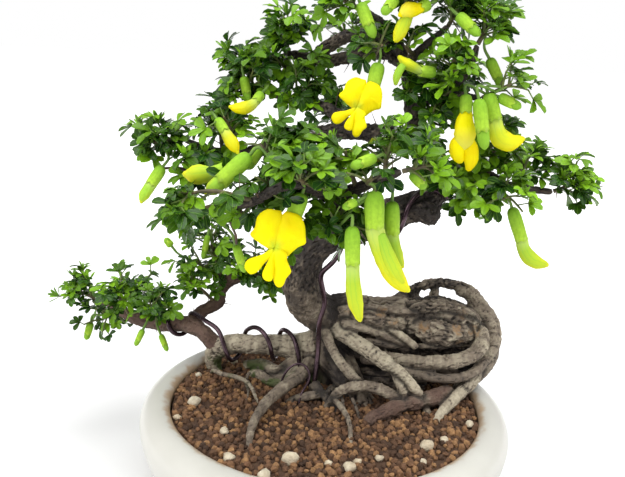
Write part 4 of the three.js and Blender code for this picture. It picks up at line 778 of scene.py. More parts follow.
class Paint(Tree):
    """A material with one Principled shader, whose colour is laid on in layers."""

    def __init__(self, name, **plain):
        self.material = bpy.data.materials.new(name)
        self.material.use_nodes = True
        super().__init__(self.material.node_tree)
        self.tree.nodes.clear()
        self.shader = self.node("ShaderNodeBsdfPrincipled")
        self.node("ShaderNodeOutputMaterial", {"Surface": self.shader})
        for socket, value in plain.items():
            self.shader.inputs[socket.replace("_", " ")].default_value = value

    def stored(self, name):
        """A value stored on the mesh."""
        return self.node("ShaderNodeAttribute", attribute_name=name).outputs["Fac"]

    def pattern(self):
        """Places across and along the pattern of a leaf or petal."""
        return self.parts(self.node("ShaderNodeUVMap", uv_map=UV_LAYER).outputs[0])

    def mottle(self, scale, detail, stretch=1.0):
        """Mask and height of soft patches."""
        sizes = {"Scale": scale, "Detail": detail, "Stretch": stretch}
        made = self.node("ShaderNodeGroup", sizes, node_tree=mottle_group())
        return made.outputs["Mask"], made.outputs["Height"]

    def mix(self, mask, under, over):
        """One colour over another, by a mask."""
        made = self.node("ShaderNodeMix", {0: mask}, data_type="RGBA")
        for index, colour in ((6, under), (7, over)):
            joined = isinstance(colour, bpy.types.NodeSocket)
            self.feed(made.inputs[index], colour if joined else rgba(colour))
        return made.outputs[2]

    def ramp(self, share, low, middle, middle_at, high):
        """A colour between three, by a value."""
        made = self.node("ShaderNodeValToRGB", {"Fac": share})
        stops = made.color_ramp.elements
        stops[0].color = rgba(low)
        stops[1].color = rgba(high)
        stops.new(middle_at).color = rgba(middle)
        return made.outputs[0]

    def layer(self, mask, colour, strength=1.0):
        """Lays a colour over what is there."""
        self.colour = self.mix(self.times(mask, strength), self.colour, colour)

    def rough(self, mask, low, high):
        """Roughness between two values, by a mask."""
        made = self.node("ShaderNodeMapRange", {"Value": mask, "To Min": low, "To Max": high})
        self.feed(self.shader.inputs["Roughness"], made)

    def finish(self, relief, depth, strength):
        """Gives the shader its colour, and the small relief that isn't in the mesh."""
        self.feed(self.shader.inputs["Base Color"], self.colour)
        bump = self.node("ShaderNodeBump", {"Height": relief, "Distance": depth * MM, "Strength": strength})
        self.feed(self.shader.inputs["Normal"], bump)
        return self.material


def glaze_material(colours):
    """Thick pale glaze with faint runs, stained where wet soil has stood, and bare under its foot."""
    stain_edge = (0.0524, 0.0551)
    foot_edge = (0.0002, 0.0012)
    made = Paint("glaze", Coat_Weight=0.25, Coat_Roughness=0.2)
    patches, relief = made.mottle(34, 5, 0.45)
    made.colour = made.mix(patches, colours.glaze_low, colours.glaze_high)
    spot = made.parts(made.node("ShaderNodeTexCoord").outputs["Object"])
    flat = made.node("ShaderNodeCombineXYZ", {"X": spot["X"], "Y": spot["Y"]})
    from_axis = made.length(made.vector_math("SUBTRACT", flat, (ORIGIN.x, ORIGIN.y, 0)))
    ragged = made.plus(from_axis, made.times(made.mottle(240, 6)[0], 0.0018))
    made.layer(made.fall(ragged, *stain_edge), colours.stain, 0.8)
    made.layer(made.fall(spot["Z"], *foot_edge), colours.bare_clay, 0.9)
    made.rough(patches, 0.3, 0.42)
    return made.finish(relief, 0.12, 0.4)


def granule_material(colours):
    """Fired clay granules, each with its own tone."""
    made = Paint("granules", Roughness=0.88)
    dust, relief = made.mottle(900, 5)
    grains = colours.grain_dark, colours.grain_mid, 0.55, colours.grain_orange
    made.colour = made.ramp(made.stored("tone"), *grains)
    made.layer(dust, colours.grain_dark, 0.4)
    return made.finish(relief, 0.25, 0.8)


def pumice_material(colours):
    """Pale pumice, with some rusty stones, dusted with the clay round it."""
    made = Paint("pumice", Roughness=0.9)
    dust, relief = made.mottle(420, 6)
    made.colour = made.mix(made.stored("tone"), colours.pumice_pale, colours.pumice_rust)
    made.layer(dust, colours.pumice_dust, 0.5)
    return made.finish(relief, 0.35, 1.0)


def bark_material(colours):
    """Bark that goes from near black on the trunk to pale wrinkled roots, with bare wood at the wounds."""
    made = Paint("bark", Roughness=0.82)
    ridge = made.stored("relief")
    patches, _ = made.mottle(170, 6)
    fine, relief = made.mottle(620, 6)
    blotches = made.times(made.math("SUBTRACT", patches, 0.5), 0.24)
    toned = made.plus(made.plus(made.stored("pale"), blotches), made.times(ridge, 0.3))
    made.colour = made.ramp(toned, colours.bark_dark, colours.bark_mid, 0.45, colours.bark_pale)
    made.layer(made.stored("plum"), colours.bark_plum, 0.7)
    worn = made.times(made.rise(fine, 0.1, 0.8), made.stored("wound"))
    made.layer(worn, colours.bare_wood, 0.62)
    cracks = made.times(made.rise(made.times(ridge, -1.0), 0.3, 1.1), 0.8)
    # Painted shade: the seams where limbs meet, and the skin that sits back between them, are darkened like the
    # cracks
    seam_shade = made.times(made.rise(made.stored("seam"), 0.0, 1.0), 0.88)
    made.layer(made.larger(cracks, seam_shade), colours.bark_crack_and_seam_shade)
    made.layer(made.rise(fine, 0.6, 1.0), colours.bark_speck, 0.22)
    # Painted shade: bark that faces down is darker
    facing = made.parts(made.node("ShaderNodeNewGeometry").outputs["Normal"])["Z"]
    made.layer(made.rise(made.times(facing, -1.0), -0.15, 0.75), colours.bark_under_shade, 0.7)
    made.layer(made.times(made.stored("moss"), made.rise(patches, 0.35, 0.8)), colours.moss)
    return made.finish(relief, 0.3, 0.8)


def wire_material(colours):
    """Anodised aluminium wire, dark plum brown, with darker scuffs."""
    made = Paint("wire", Metallic=0.85)
    scuffs, relief = made.mottle(300, 4)
    made.colour = made.mix(scuffs, colours.wire, [part * 0.55 for part in colours.wire])
    made.rough(scuffs, 0.18, 0.32)
    return made.finish(relief, 0.03, 0.4)


def leaf_material(colours):
    """Glossy leaflets with a pale midrib, dark when grown and yellow green when young."""
    made = Paint("leaf", Specular_IOR_Level=0.24)
    pattern = made.pattern()
    aside = made.math("ABSOLUTE", made.math("SUBTRACT", pattern["X"], 0.5))
    fresh = made.stored("fresh")
    grown = made.mix(made.mottle(240, 4)[0], colours.leaf_dark, colours.leaf_mid)
    made.colour = made.mix(fresh, grown, colours.leaf_young)
    midrib = made.fall(aside, 0.015, 0.07)
    slant = made.plus(made.times(pattern["Y"], 34.0), made.times(aside, -30.0))
    side_veins = made.rise(made.math("SINE", slant), 0.75, 1.0)
    veins = made.larger(made.times(midrib, 0.5), made.times(side_veins, 0.12))
    # Painted highlight: a pale line along the rim of each leaflet
    margin_highlight = made.times(made.rise(aside, 0.4, 0.5), 0.4)
    made.layer(made.larger(veins, margin_highlight), colours.vein_and_rim_highlight)
    made.layer(made.stored("underside"), colours.leaf_back, 0.55)
    made.rough(fresh, 0.17, 0.34)
    relief = made.math("SUBTRACT", 1.0, made.larger(midrib, made.times(side_veins, 0.4)))
    return made.finish(relief, 0.12, 0.6)


def bloom_material(colours):
    """Petals and calyxes: yellow, green in the throat and on the calyx, with fine long veins."""
    vein_count = 9
    made = Paint("bloom", Roughness=0.55, Specular_IOR_Level=0.12)
    green = made.stored("green")
    patches, relief = made.mottle(160, 4)
    turns = made.times(made.pattern()["X"], 2 * math.pi * vein_count)
    veins = made.rise(made.math("SINE", made.plus(turns, made.times(relief, 5.0))), 0.6, 1.0)
    yellow = made.mix(patches, colours.petal_yellow, colours.petal_deep)
    streaks = made.times(made.times(veins, green), 0.16)
    petal = made.mix(made.math("ADD", green, streaks, clamp=True), yellow, colours.petal_green)
    made.colour = made.mix(green, colours.calyx_pale, colours.calyx_green)
    shade = [part * 0.6 for part in colours.calyx_green]
    made.layer(made.mottle(900, 3)[0], shade, 0.3)
    made.layer(veins, shade, 0.12)
    made.colour = made.mix(made.stored("calyx"), petal, made.colour)
    made.layer(made.stored("pale"), colours.bloom_edge)
    return made.finish(made.plus(made.times(veins, -0.5), relief), 0.1, 0.5)


def twig_material(colours):
    """Thin shoots, brown and green, and brown spines."""
    made = Paint("twig", Roughness=0.62)
    patches, relief = made.mottle(400, 4)
    brown = made.mix(patches, colours.twig_dark, colours.twig_brown)
    green = made.mix(patches, colours.shoot_dark, colours.shoot_green)
    made.colour = made.mix(made.stored("fresh"), brown, green)
    return made.finish(relief, 0.1, 0.6)


def net_material(colours):
    """Black plastic net."""
    made = Paint("net", Roughness=0.55)
    dust, relief = made.mottle(500, 4)
    made.colour = made.mix(dust, colours.net_dark, colours.net_dusty)
    return made.finish(relief, 0.08, 0.5)


# Pot and soil


def revolve_tree():
    """A profile turned round the pot's axis."""
    made = GeometryTree("Turned bowl", {"Sides": ("Int", 160), "Rows": ("Int", 90), "Axis": ("Vector", None)})
    profile = made.node("GeometryNodeMeshToCurve", {"Mesh": made.given["Geometry"]})
    columns = made.plus(made.given["Sides"], 1)
    size = {"Size X": 1.0, "Size Y": 1.0, "Vertices X": columns, "Vertices Y": made.given["Rows"]}
    grid = made.node("GeometryNodeMeshGrid", size)
    spot = made.parts(made.node("GeometryNodeInputPosition"))
    share = made.plus(spot["Y"], 0.5)
    angle = made.times(spot["X"], 2 * math.pi)
    on_profile = made.node("GeometryNodeSampleCurve", {"Curves": profile, "Factor": share}, mode="FACTOR")
    section = made.parts(on_profile.outputs["Position"])
    x = made.times(section["X"], made.math("COSINE", angle))
    y = made.times(section["X"], made.math("SINE", angle))
    around = made.node("ShaderNodeCombineXYZ", {"X": x, "Y": y, "Z": section["Z"]})
    goal = made.vector_math("ADD", around, made.given["Axis"])
    moved = made.node("GeometryNodeSetPosition", {"Geometry": grid, "Position": goal})
    return made.finish(made.node("GeometryNodeMergeByDistance", {"Geometry": moved, "Distance": 0.02 * MM}))


def make_pot(sizes, colours):
    """The turned bowl, from its profile."""
    rounded = Route([(radius, 0, height) for radius, height in POT_PROFILE + POT_PROFILE[:1]], 1)
    points = [centre * MM for centre in rounded.centres]
    edges = [(index, index + 1) for index in range(len(points) - 1)]
    bowl = new_object("bowl", new_mesh("bowl", points, edges, []))
    values = {"Sides": sizes.pot_sides, "Rows": len(points), "Axis": ORIGIN}
    revolve_tree().run(bowl, {**values, "Material": glaze_material(colours)})
    work = bmesh.new()
    work.from_mesh(bowl.data)
    bmesh.ops.recalc_face_normals(work, faces=work.faces)
    work.to_mesh(bowl.data)
    work.free()
    return bowl


def soil_height(x, y):
    """Height of the packed soil under its loose grains."""
    centre_x, centre_y, height, spread = MOUND
    mound = height * math.exp(-((x - centre_x) ** 2 + (y - centre_y) ** 2) / (2 * spread**2))
    waves = 0.5 * noise.noise(Vector((x, y, 3)) * 0.11) + 0.35 * noise.noise(Vector((x, y, 9)) * 0.35)
    edge = -0.7 * max(0.0, (math.hypot(x, y) - 44) / 7)
    return mound + waves + edge - 1.1


def disc(rings, sides, lift, centre_lift):
    """A disc of rings of points; each ring has a radius, and a height where it doesn't follow the soil."""
    points = [(0, 0, soil_height(0, 0) + centre_lift)]
    for radius, level in rings:
        for angle in circle(sides):
            x, y = radius * math.cos(angle), radius * math.sin(angle)
            points.append((x, y, soil_height(x, y) + lift if level is None else level))
    faces = [(0, 1 + side, 1 + (side + 1) % sides) for side in range(sides)]
    for row in range(len(rings) - 1):
        low = 1 + row * sides
        for side in range(sides):
            after = (side + 1) % sides
            faces.append((low + side, low + sides + side, low + sides + after, low + after))
    return points, faces


def make_soil_bed(material):
    """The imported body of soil, down to the bottom of the bowl."""
    sides = 120
    rows = 40
    dark_tone = 0.12
    rings = [(SOIL_R * row / rows, None) for row in range(1, rows + 1)] + SOIL_LOW_RINGS
    points, faces = disc(rings, sides, 0, 0)
    faces.append(list(reversed(range(len(points) - sides, len(points)))))
    bed = new_piece("soil_bed", points, faces, material)
    add_values(bed.data, "tone", [dark_tone] * len(points))
    return bed


def icosphere(subdivisions):
    """A ball one unit across, to be worked on."""
    work = bmesh.new()
    bmesh.ops.create_icosphere(work, subdivisions=subdivisions, radius=0.5)
    return work


def pebble(name, seed, stretch):
    """A small lump with few faces, about one unit across."""
    draw = random.Random(seed)
    work = icosphere(1)
    bmesh.ops.subdivide_edges(work, edges=draw.sample(list(work.edges), 8), cuts=1)
    bmesh.ops.triangulate(work, faces=work.faces)
    for vertex in work.verts:
        vertex.co = stretched(vertex.co, stretch) * draw.uniform(0.84, 1.12)
    mesh = bpy.data.meshes.new(name)
    work.to_mesh(mesh)
    work.free()
    return bpy.data.objects.new(name, mesh)


def scatter_tree():
    """Lumps strewn over a surface, each turned and sized by chance."""
    full_turn = (6.28, 6.28, 6.28)
    sockets = {
        "Shapes": ("Collection", None),
        "Spacing": ("Float", 0.0016),
        "Smallest": ("Float", 0.0016),
        "Largest": ("Float", 0.003),
        "Seed": ("Int", 4),
    }
    made = GeometryTree("Strewn lumps", sockets)
    inputs = {
        "Mesh": made.given["Geometry"],
        "Distance Min": made.given["Spacing"],
        "Density Max": 900000.0,
        "Seed": made.given["Seed"],
    }
    spots = made.node("GeometryNodeDistributePointsOnFaces", inputs, distribute_method="POISSON")
    turn = made.node("FunctionNodeRandomValue", {"Max": full_turn, "Seed": 11}, data_type="FLOAT_VECTOR")
    rotation = made.node("FunctionNodeEulerToRotation", {"Euler": turn})
    limits = {2: made.given["Smallest"], 3: made.given["Largest"], "Seed": 12}
    size = made.node("FunctionNodeRandomValue", limits, data_type="FLOAT")
    placed = made.shapes_on(spots, {"Rotation": rotation, "Scale": size.outputs[1]})
    tone = made.node("FunctionNodeRandomValue", {"Seed": 13}, data_type="FLOAT")
    stored = {"Geometry": placed, "Name": "tone", "Value": tone.outputs[1]}
    toned = made.node("GeometryNodeStoreNamedAttribute", stored, data_type="FLOAT", domain="INSTANCE")
    return made.finish(toned, smooth=False)


def shape_collection(name, objects):
    """Keeps shapes for a tree in a collection that isn't in the scene."""
    collection = bpy.data.collections.new(name)
    for item in objects:
        collection.objects.link(item)
    return collection


def make_grains(sizes, material):
    """Loose granules over the soil."""
    stretches = [(1, 0.85, 0.75), (1.1, 0.8, 0.8), (0.9, 0.95, 0.7), (1.2, 0.9, 0.9)]
    shapes = [pebble(f"grain_{index}", 40 + index, stretch) for index, stretch in enumerate(stretches)]
    rows = 16
    rings = [((SOIL_R - 0.3) * row / rows, None) for row in range(1, rows + 1)]
    points, faces = disc(rings, 60, 0.35, 0.2)
    values = {
        "Shapes": shape_collection("grain shapes", shapes),
        "Spacing": sizes.grain_spacing,
        "Smallest": sizes.grain_small,
        "Largest": sizes.grain_large,
        "Seed": 5,
        "Material": material,
    }
    return scatter_tree().run(new_piece("soil_grains", points, faces), values)


def make_pumice(material):
    """Pumice stones among the granules, as irregular lumps."""
    rusty_share = 0.25
    points = []
    faces = []
    tones = []
    for index, (x, y, size) in enumerate(PUMICE):
        draw = random.Random(300 + index)
        work = icosphere(2)
        offset = Vector((draw.random(), draw.random(), draw.random())) * 50
        stretch = Vector((draw.uniform(0.85, 1.15), draw.uniform(0.8, 1.05), draw.uniform(0.7, 0.9)))
        first = len(points)
        centre = Vector((x, y, soil_height(x, y) + 0.5 + 0.18 * size))
        for vertex in work.verts:
            lumps = 0.42 * noise.noise(vertex.co * 2.4 + offset)
            bulge = 1 + lumps + 0.16 * noise.noise(vertex.co * 6 + offset)
            points.append(centre + stretched(vertex.co, stretch) * size * bulge)
        faces += [[first + vertex.index for vertex in face.verts] for face in work.faces]
        tone = 1.0 if draw.random() < rusty_share else draw.uniform(0, 0.25)
        tones += [tone] * len(work.verts)
        work.free()
    stones = new_piece("pumice", points, faces, material)
    add_values(stones.data, "tone", tones)
    return stones


# Wood

TUBE_SIDES = 14
TUBE_STEP = 1.1
TUBE_END = 0.4


def tube(route):
    """A closed round tube along a route, as points and faces."""
    points = []
    faces = []
    across = None
    rings = max(3, round(route.length / TUBE_STEP) + 1)
    for ring in range(rings):
        centre, along, radius = route.at(ring / (rings - 1))
        across = square_to(along, across)
        aside = along.cross(across)
        if ring == 0:
            points.append(centre - along * radius * TUBE_END)
        for angle in circle(TUBE_SIDES):
            points.append(centre + across * (radius * math.cos(angle)) + aside * (radius * math.sin(angle)))
    points.append(centre + along * radius * TUBE_END)
    end = len(points) - 1
    last = end - TUBE_SIDES
    for side in range(TUBE_SIDES):
        after = (side + 1) % TUBE_SIDES
        faces.append((0, 1 + after, 1 + side))
        for low in range(1, last, TUBE_SIDES):
            high = low + TUBE_SIDES
            faces.append((low + side, low + after, high + after, high + side))
        faces.append((end, last + side, last + after))
    return points, faces


def make_wood(name, limb_names, voxel, seam_depth, material):
    """Limbs joined as one grown body, with the bark's relief in its skin."""
    points = []
    faces = []
    for limb in limb_names:
        limb_points, limb_faces = tube(LIMBS[limb])
        faces += [[len(points) + corner for corner in face] for face in limb_faces]
        points += limb_points
    body = new_piece(name, points, faces, material)
    remesh = body.modifiers.new("skin", "REMESH")
    remesh.mode = "VOXEL"
    remesh.voxel_size = voxel
    soften = body.modifiers.new("soften", "SMOOTH")
    soften.factor = 0.6
    soften.iterations = 3
    evaluated(body)
    carve_bark(body, limb_names, seam_depth)
    return body


def bark_relief(kind, spot, along, radius):
    """How far the bark stands out at a spot, and its tone: below 0 in a crack, above 0 on a ridge."""
    lengthwise = spot - along * (spot.dot(along) * 0.7)
    lumps = noise.noise(spot * 0.2) + 0.5 * noise.noise(spot * 0.45 + Vector((5, 1, 8)))
    fine = noise.noise(lengthwise * 2.4)
    crack = 1 - min(1.0, abs(noise.noise(lengthwise * 0.5)) / 0.13)
    if kind == "ringed":
        warp = 1.4 * noise.noise(spot * 0.3)
        bands = noise.noise(Vector((spot.dot(along) * 1.1 + warp, lengthwise.length * 0.12, radius)))
        height = 0.11 * radius * lumps + 0.24 * bands + 0.12 * fine - 0.3 * crack
        return height, 0.7 * bands + 0.4 * fine + 0.4 * lumps - 0.7 * crack
    wrinkle = noise.noise(lengthwise * 1.15 + Vector((2, 7, 4)))
    if kind == "plum":
        height = 0.15 * radius * lumps + 0.26 * wrinkle + 0.12 * fine - 0.2 * crack
        return height, 0.6 * lumps + 0.7 * wrinkle + 0.3 * fine - 0.35 * crack
    height = min(1.1, radius * 0.17) * lumps + 0.42 * wrinkle + 0.14 * fine - 0.7 * crack
    return height, 1.1 * wrinkle + 0.5 * fine + 0.6 * lumps - crack


def trunk_foot(spot):
    """How calm the bark is at the trunk's foot, and how much paler than the rest of the trunk, with painted
    light on its left side and painted shade in its hollow by the gnarl.
    """
    calm = smooth_step((44 - spot.z) / 14) * smooth_step((9 - spot.x) / 6)
    # Painted light: the left side of the trunk's foot is paler, as if lit from the left
    lit = smooth_step((1 - spot.x) / 9)
    patch = noise.noise(spot * 0.16 + Vector((3, 0, 1)))
    upper = smooth_step((spot.z - 44) / 10)
    # Painted shade: darker in the hollow where the gnarl leaves the trunk
    hollow_shade = smooth_step((10 - spot.x) / 5) * smooth_step((spot.x + 1) / 3) * smooth_step((38 - spot.z) / 6)
    return calm, calm * (0.42 * lit - 0.12 + 0.42 * patch) - 0.1 * upper - 0.3 * hollow_shade


def bareness(spot):
    """How bare the wood is at a spot, 1 at a wound and 0 on bark."""
    bare = 0.0
    for x, y, z, size in WOUNDS:
        gap = (spot - Vector((x, y, z))).length / size + 0.5 * noise.noise(spot * 0.9)
        bare = max(bare, clamp(2.5 * (1.15 - gap)))
    return bare


def mossiness(spot):
    """How mossy the wood is at a spot: low down, behind and to the left."""
    return clamp((8 - spot.z) / 4) * clamp((1 - spot.x) / 6) * clamp((spot.y + 1) / 5)


Sample = namedtuple("Sample", "centre along radius kind pale group")


def bark_samples(limb_names, seam_depth):
    """Samples along limbs; limbs of one group have no seam between them."""
    samples = []
    for order, limb in enumerate(limb_names):
        kind, pale, _ = ALL_LIMBS[limb]
        group = 0 if limb in CORE_LIMBS or seam_depth == 0 else order + 1
        route = LIMBS[limb]
        for centre, along, radius in route.along(max(2, round(route.length / 1.2))):
            samples.append(Sample(centre, along, radius, kind, pale, group))
    tree = KDTree(len(samples))
    for index, sample in enumerate(samples):
        tree.insert(sample.centre, index)
    tree.balance()
    return samples, tree


def carve_bark(body, limb_names, seam_depth):
    """Moves the skin by its bark and stores where it is pale, cracked, plum, bare or mossy, and its seams,
    which get painted shade.
    """
    looked_at = 24
    blended = 9
    samples, tree = bark_samples(limb_names, seam_depth)
    mesh = body.data
    masks = {"pale": [], "relief": [], "seam": [], "plum": [], "wound": [], "moss": []}
    moved = []
    for vertex in mesh.vertices:
        spot = (vertex.co - ORIGIN) / MM
        found = tree.find_n(spot, looked_at)
        near = sorted((away - samples[index].radius, index) for _, index, away in found)
        closest, first = near[0]
        own = samples[first]
        others = [gap for gap, index in near if samples[index].group != own.group]
        seam = max(0.0, 1 - (others[0] - closest) / 1.1) if others else 0.0
        weights = [(math.exp(-(gap - closest) / 0.9), samples[index]) for gap, index in near[:blended]]
        total = sum(weight for weight, _ in weights)
        pale = sum(weight * sample.pale for weight, sample in weights) / total
        plum = sum(weight * (sample.kind == "plum") for weight, sample in weights) / total
        height, tone = bark_relief(own.kind, spot, own.along, own.radius)
        if own.kind == "cracked":
            calm, paler = trunk_foot(spot)
            height *= 1 - 0.5 * calm
            tone *= 1 - 0.45 * calm
            pale += paler
        bare = bareness(spot)
        fade = min(1.0, own.radius / 2.2)
        rise = height * fade * (1 - 0.7 * bare) - 0.4 * bare - seam_depth * seam
        moved.append(vertex.co + vertex.normal * rise * MM)
        masks["pale"].append(pale)
        masks["relief"].append(tone * (1 - bare))
        # Seams, and skin that sits back between limbs, for the painted shade
        masks["seam"].append(max(seam, clamp((closest - 0.2) / 0.9)))
        masks["plum"].append(plum)
        masks["wound"].append(bare)
        masks["moss"].append(mossiness(spot))
    for vertex, spot in zip(mesh.vertices, moved):
        vertex.co = spot
    for mask, values in masks.items():
        add_values(mesh, mask, values)
    mesh.update()


def pressed_off(spot, size, around):
    """A place on a wire, moved until it is clear of the wood round it."""
    for _ in range(10):
        worst = 0.0
        push = None
        for centre, _, radius in around:
            need = radius * 1.06 + size + 0.25
            away = (spot - centre).length
            if need - away > worst:
                worst = need - away
                push = (spot - centre) / max(away, 1e-6)
        if push is None:
            break
        spot = spot + push * (worst + 0.02)
    return spot


def wire_route(name):
    """A wire's path, pressed off the bark it winds round."""
    size, points = WIRES[name]
    route = Route(points)
    around = []
    for limb in WOOD:
        around += LIMBS[limb].along(max(2, round(LIMBS[limb].length / 1.5)))
    spots = [pressed_off(spot, size, around) for spot, _, _ in route.along(round(route.length / 1.6))]
    for _ in range(2):
        softened = [(a + b * 2 + c) / 4 for a, b, c in zip(spots, spots[1:], spots[2:])]
        spots = [spots[0]] + softened + [spots[-1]]
    return [(centre, size) for centre in Route([(*spot, size) for spot in spots], 0.7).centres]


# Leaves

LEAFLET_ROWS = [(0.0, 0.14), (0.34, 0.68), (0.68, 1.0), (0.91, 0.64)]
LEAF_THICK = 0.11
LEAF_KINDS = 8
TUFT_KINDS = 3
# How far to the left leaves may grow
LEAF_EDGE = -98.5


def leaf_shape(name, leaflets):
    """A leaf of leaflets that spread from one point, upper face to +Z, stalk back along -X."""
    points = []
    faces = []
    uvs = []
    backs = []
    rim = set()
    for length, half, turn, pitch, fold, arch in leaflets:
        first = len(points)
        spin = Matrix.Rotation(turn, 3, "Z") @ Matrix.Rotation(-pitch, 3, "Y")
        for along, width in LEAFLET_ROWS:
            bend = arch * length * along * (1 - 0.95 * along)
            for side, under in ((-1, 0.5), (0, 0), (1, 0.5), (0, 1)):
                lift = bend + fold * abs(side) * width * half - under * LEAF_THICK
                points.append(spin @ Vector((along * length, side * width * half, lift)))
                uvs.append((0.5 + 0.5 * side, along))
        points.append(spin @ Vector((length, 0, 0.05 * arch * length - 0.5 * LEAF_THICK)))
        uvs.append((0.5, 1.0))
        tip = len(points) - 1
        rim.add(tip)
        for low in range(first, tip, 4):
            high = low + 4
            rim.update((low, low + 2))
            if high == tip:
                faces += [(low, tip, low + 1), (low + 1, tip, low + 2)]
                faces += [(low + 3, tip, low), (low + 2, tip, low + 3)]
            else:
                faces += [(low, high, high + 1, low + 1), (low + 1, high + 1, high + 2, low + 2)]
                faces += [(low + 3, high + 3, high, low), (low + 2, high + 2, high + 3, low + 3)]
            backs += [0.0, 0.0, 1.0, 1.0]
        faces.append((first, first + 1, first + 2, first + 3))
        backs.append(1.0)
    mesh = new_mesh(name, [point * MM for point in points], [], faces)
    layer = mesh.uv_layers.new(name=UV_LAYER)
    for loop in mesh.loops:
        layer.data[loop.index].uv = uvs[loop.vertex_index]
    for edge in mesh.edges:
        edge.use_edge_sharp = edge.vertices[0] in rim and edge.vertices[1] in rim
    add_values(mesh, "underside", backs, domain="FACE")
    return bpy.data.objects.new(name, mesh)


def leaf_shapes(sizes):
    """Open and half-folded leaves, then tufts of young narrow leaflets."""
    length = sizes.leaflet_length / MM
    half = sizes.leaflet_width / MM / 2
    shapes = []
    for kind in range(LEAF_KINDS):
        draw = random.Random(60 + kind)
        spread = draw.uniform(0.7, 1.05)
        leaflets = []
        for turn in (-1.5, -0.5, 0.5, 1.5):
            long = length * draw.uniform(0.78, 1.1) * (0.88 if abs(turn) > 1 else 1)
            wide = half * draw.uniform(0.8, 1.1)
            aside = turn * spread + draw.uniform(-0.2, 0.2)
            pitch, fold, arch = draw.uniform(-0.2, 0.5), draw.uniform(0.15, 0.7), draw.uniform(0, 0.45)
            leaflets.append((long, wide, aside, pitch, fold, arch))
        shapes.append(leaf_shape(f"leaf_{kind}", leaflets))
    for kind in range(TUFT_KINDS):
        draw = random.Random(90 + kind)
        leaflets = []
        for leaflet in range(7):
            long = length * draw.uniform(0.5, 0.86)
            turn = leaflet * GOLDEN_TURN + draw.uniform(-0.3, 0.3)
            pitch, arch = draw.uniform(0.55, 1.15), draw.uniform(-0.25, 0.1)
            leaflets.append((long, half * 0.36, turn, pitch, 0.5, arch))
        shapes.append(leaf_shape(f"tuft_{kind}", leaflets))
    return shapes


def leaf_tree():
    """Leaves on points that hold their turn, size, shape and age."""
    made = GeometryTree("Leaves on shoots", {"Shapes": ("Collection", None)})
    inputs = {
        "Instance Index": made.stored("shape", "INT"),
        "Rotation": made.stored("turn", "QUATERNION"),
        "Scale": made.stored("size"),
    }
    return made.finish(made.shapes_on(made.given["Geometry"], inputs))


def bloom_spots():
    """Places that leaves keep clear of, so that the blooms show, and how far."""
    reach = 3.6
    spots = []
    paths = [[point[:3] for point in points] for _, _, points in LOOSE_PETALS]
    for _, _, base, mouth, _, ripe, _, shape in BLOOMS.values():
        if ripe is None:
            throat = Vector(shape[0])
            spots += [(throat, 8), (throat + Vector((0, 0, 5)), 8.5), (throat + Vector((0, 0, -6)), 6.5)]
            paths.append([base, mouth])
        else:
            paths.append([base, mouth] + [point[:3] for point in shape])
    paths += [[base, tip] for _, _, base, tip, _ in BUDS]
    for path in paths:
        for start, end in zip(path, path[1:]):
            spots += [(Vector(start).lerp(Vector(end), share), reach) for share in (0, 0.33, 0.67, 1)]
    return spots


def hides_bloom(parts, spots):
    """Whether a leaf there would touch a bloom, or hang between it and a viewer in front."""
    touch = 3.4
    viewer = Vector(CAMERA_AT)
    for part in parts:
        for spot, reach in spots:
            if (part - spot).length < touch:
                return True
            nearer = (spot.y + 1 - part.y) / (spot.y - viewer.y)
            if nearer > 0:
                seen = spot.lerp(viewer, nearer)
                if math.hypot(part.x - seen.x, part.z - seen.z) < reach:
                    return True
    return False


def leaf_parts(heart, forward, face):
    """Places on a leaf: its heart, and the tips of its leaflets."""
    aside = face.cross(forward) * 3.6
    side_tips = [heart + forward * 2 + aside, heart + forward * 2 - aside]
    return [heart, heart + forward * 2.8, heart + forward * 5.2, *side_tips]


def leaf_at(heart, forward, face, size, shape, fresh):
    """A leaf, as its place, turn, size, shape and how young it is."""
    turn = Matrix((forward, face.cross(forward), face)).transposed().to_quaternion()
    return heart, turn, size, shape, fresh


def outward(along, turn):
    """A direction square to another, turned round it."""
    across = square_to(along)
    return across * math.cos(turn) + along.cross(across) * math.sin(turn)


def spine(draw, route, length):
    """A thin straight spine on a route."""
    centre, along, radius = route.at(draw.uniform(0.1, 0.95))
    out = outward(along, draw.uniform(0, 2 * math.pi)) + along * draw.uniform(-0.3, 0.6)
    goal = centre + out.normalized() * (radius + length * draw.uniform(0.7, 1.2))
    return Route([(*centre, 0.22), (*centre.lerp(goal, 0.5), 0.16), (*goal, 0.05)])


def tuft_at(draw, end, along):
    """A tuft of young leaflets at a shoot's end."""
    tilt = Vector((draw.uniform(-1, 1), draw.uniform(-1, 1), 0)) * 0.3
    face = (along * 0.8 + LIGHT * 0.6 + tilt).normalized()
    size = draw.uniform(0.75, 1.1)
    shape = LEAF_KINDS + draw.randrange(TUFT_KINDS)
    return leaf_at(end, square_to(face), face, size, shape, draw.uniform(0.75, 1.0))


# How green each kind of shoot is
STEM_GREEN = 0.12
SHOOT_GREEN = 0.4
SPINE_GREEN = 0.1
STALK_GREEN = 0.8
PLACED_STALK_GREEN = 0.6


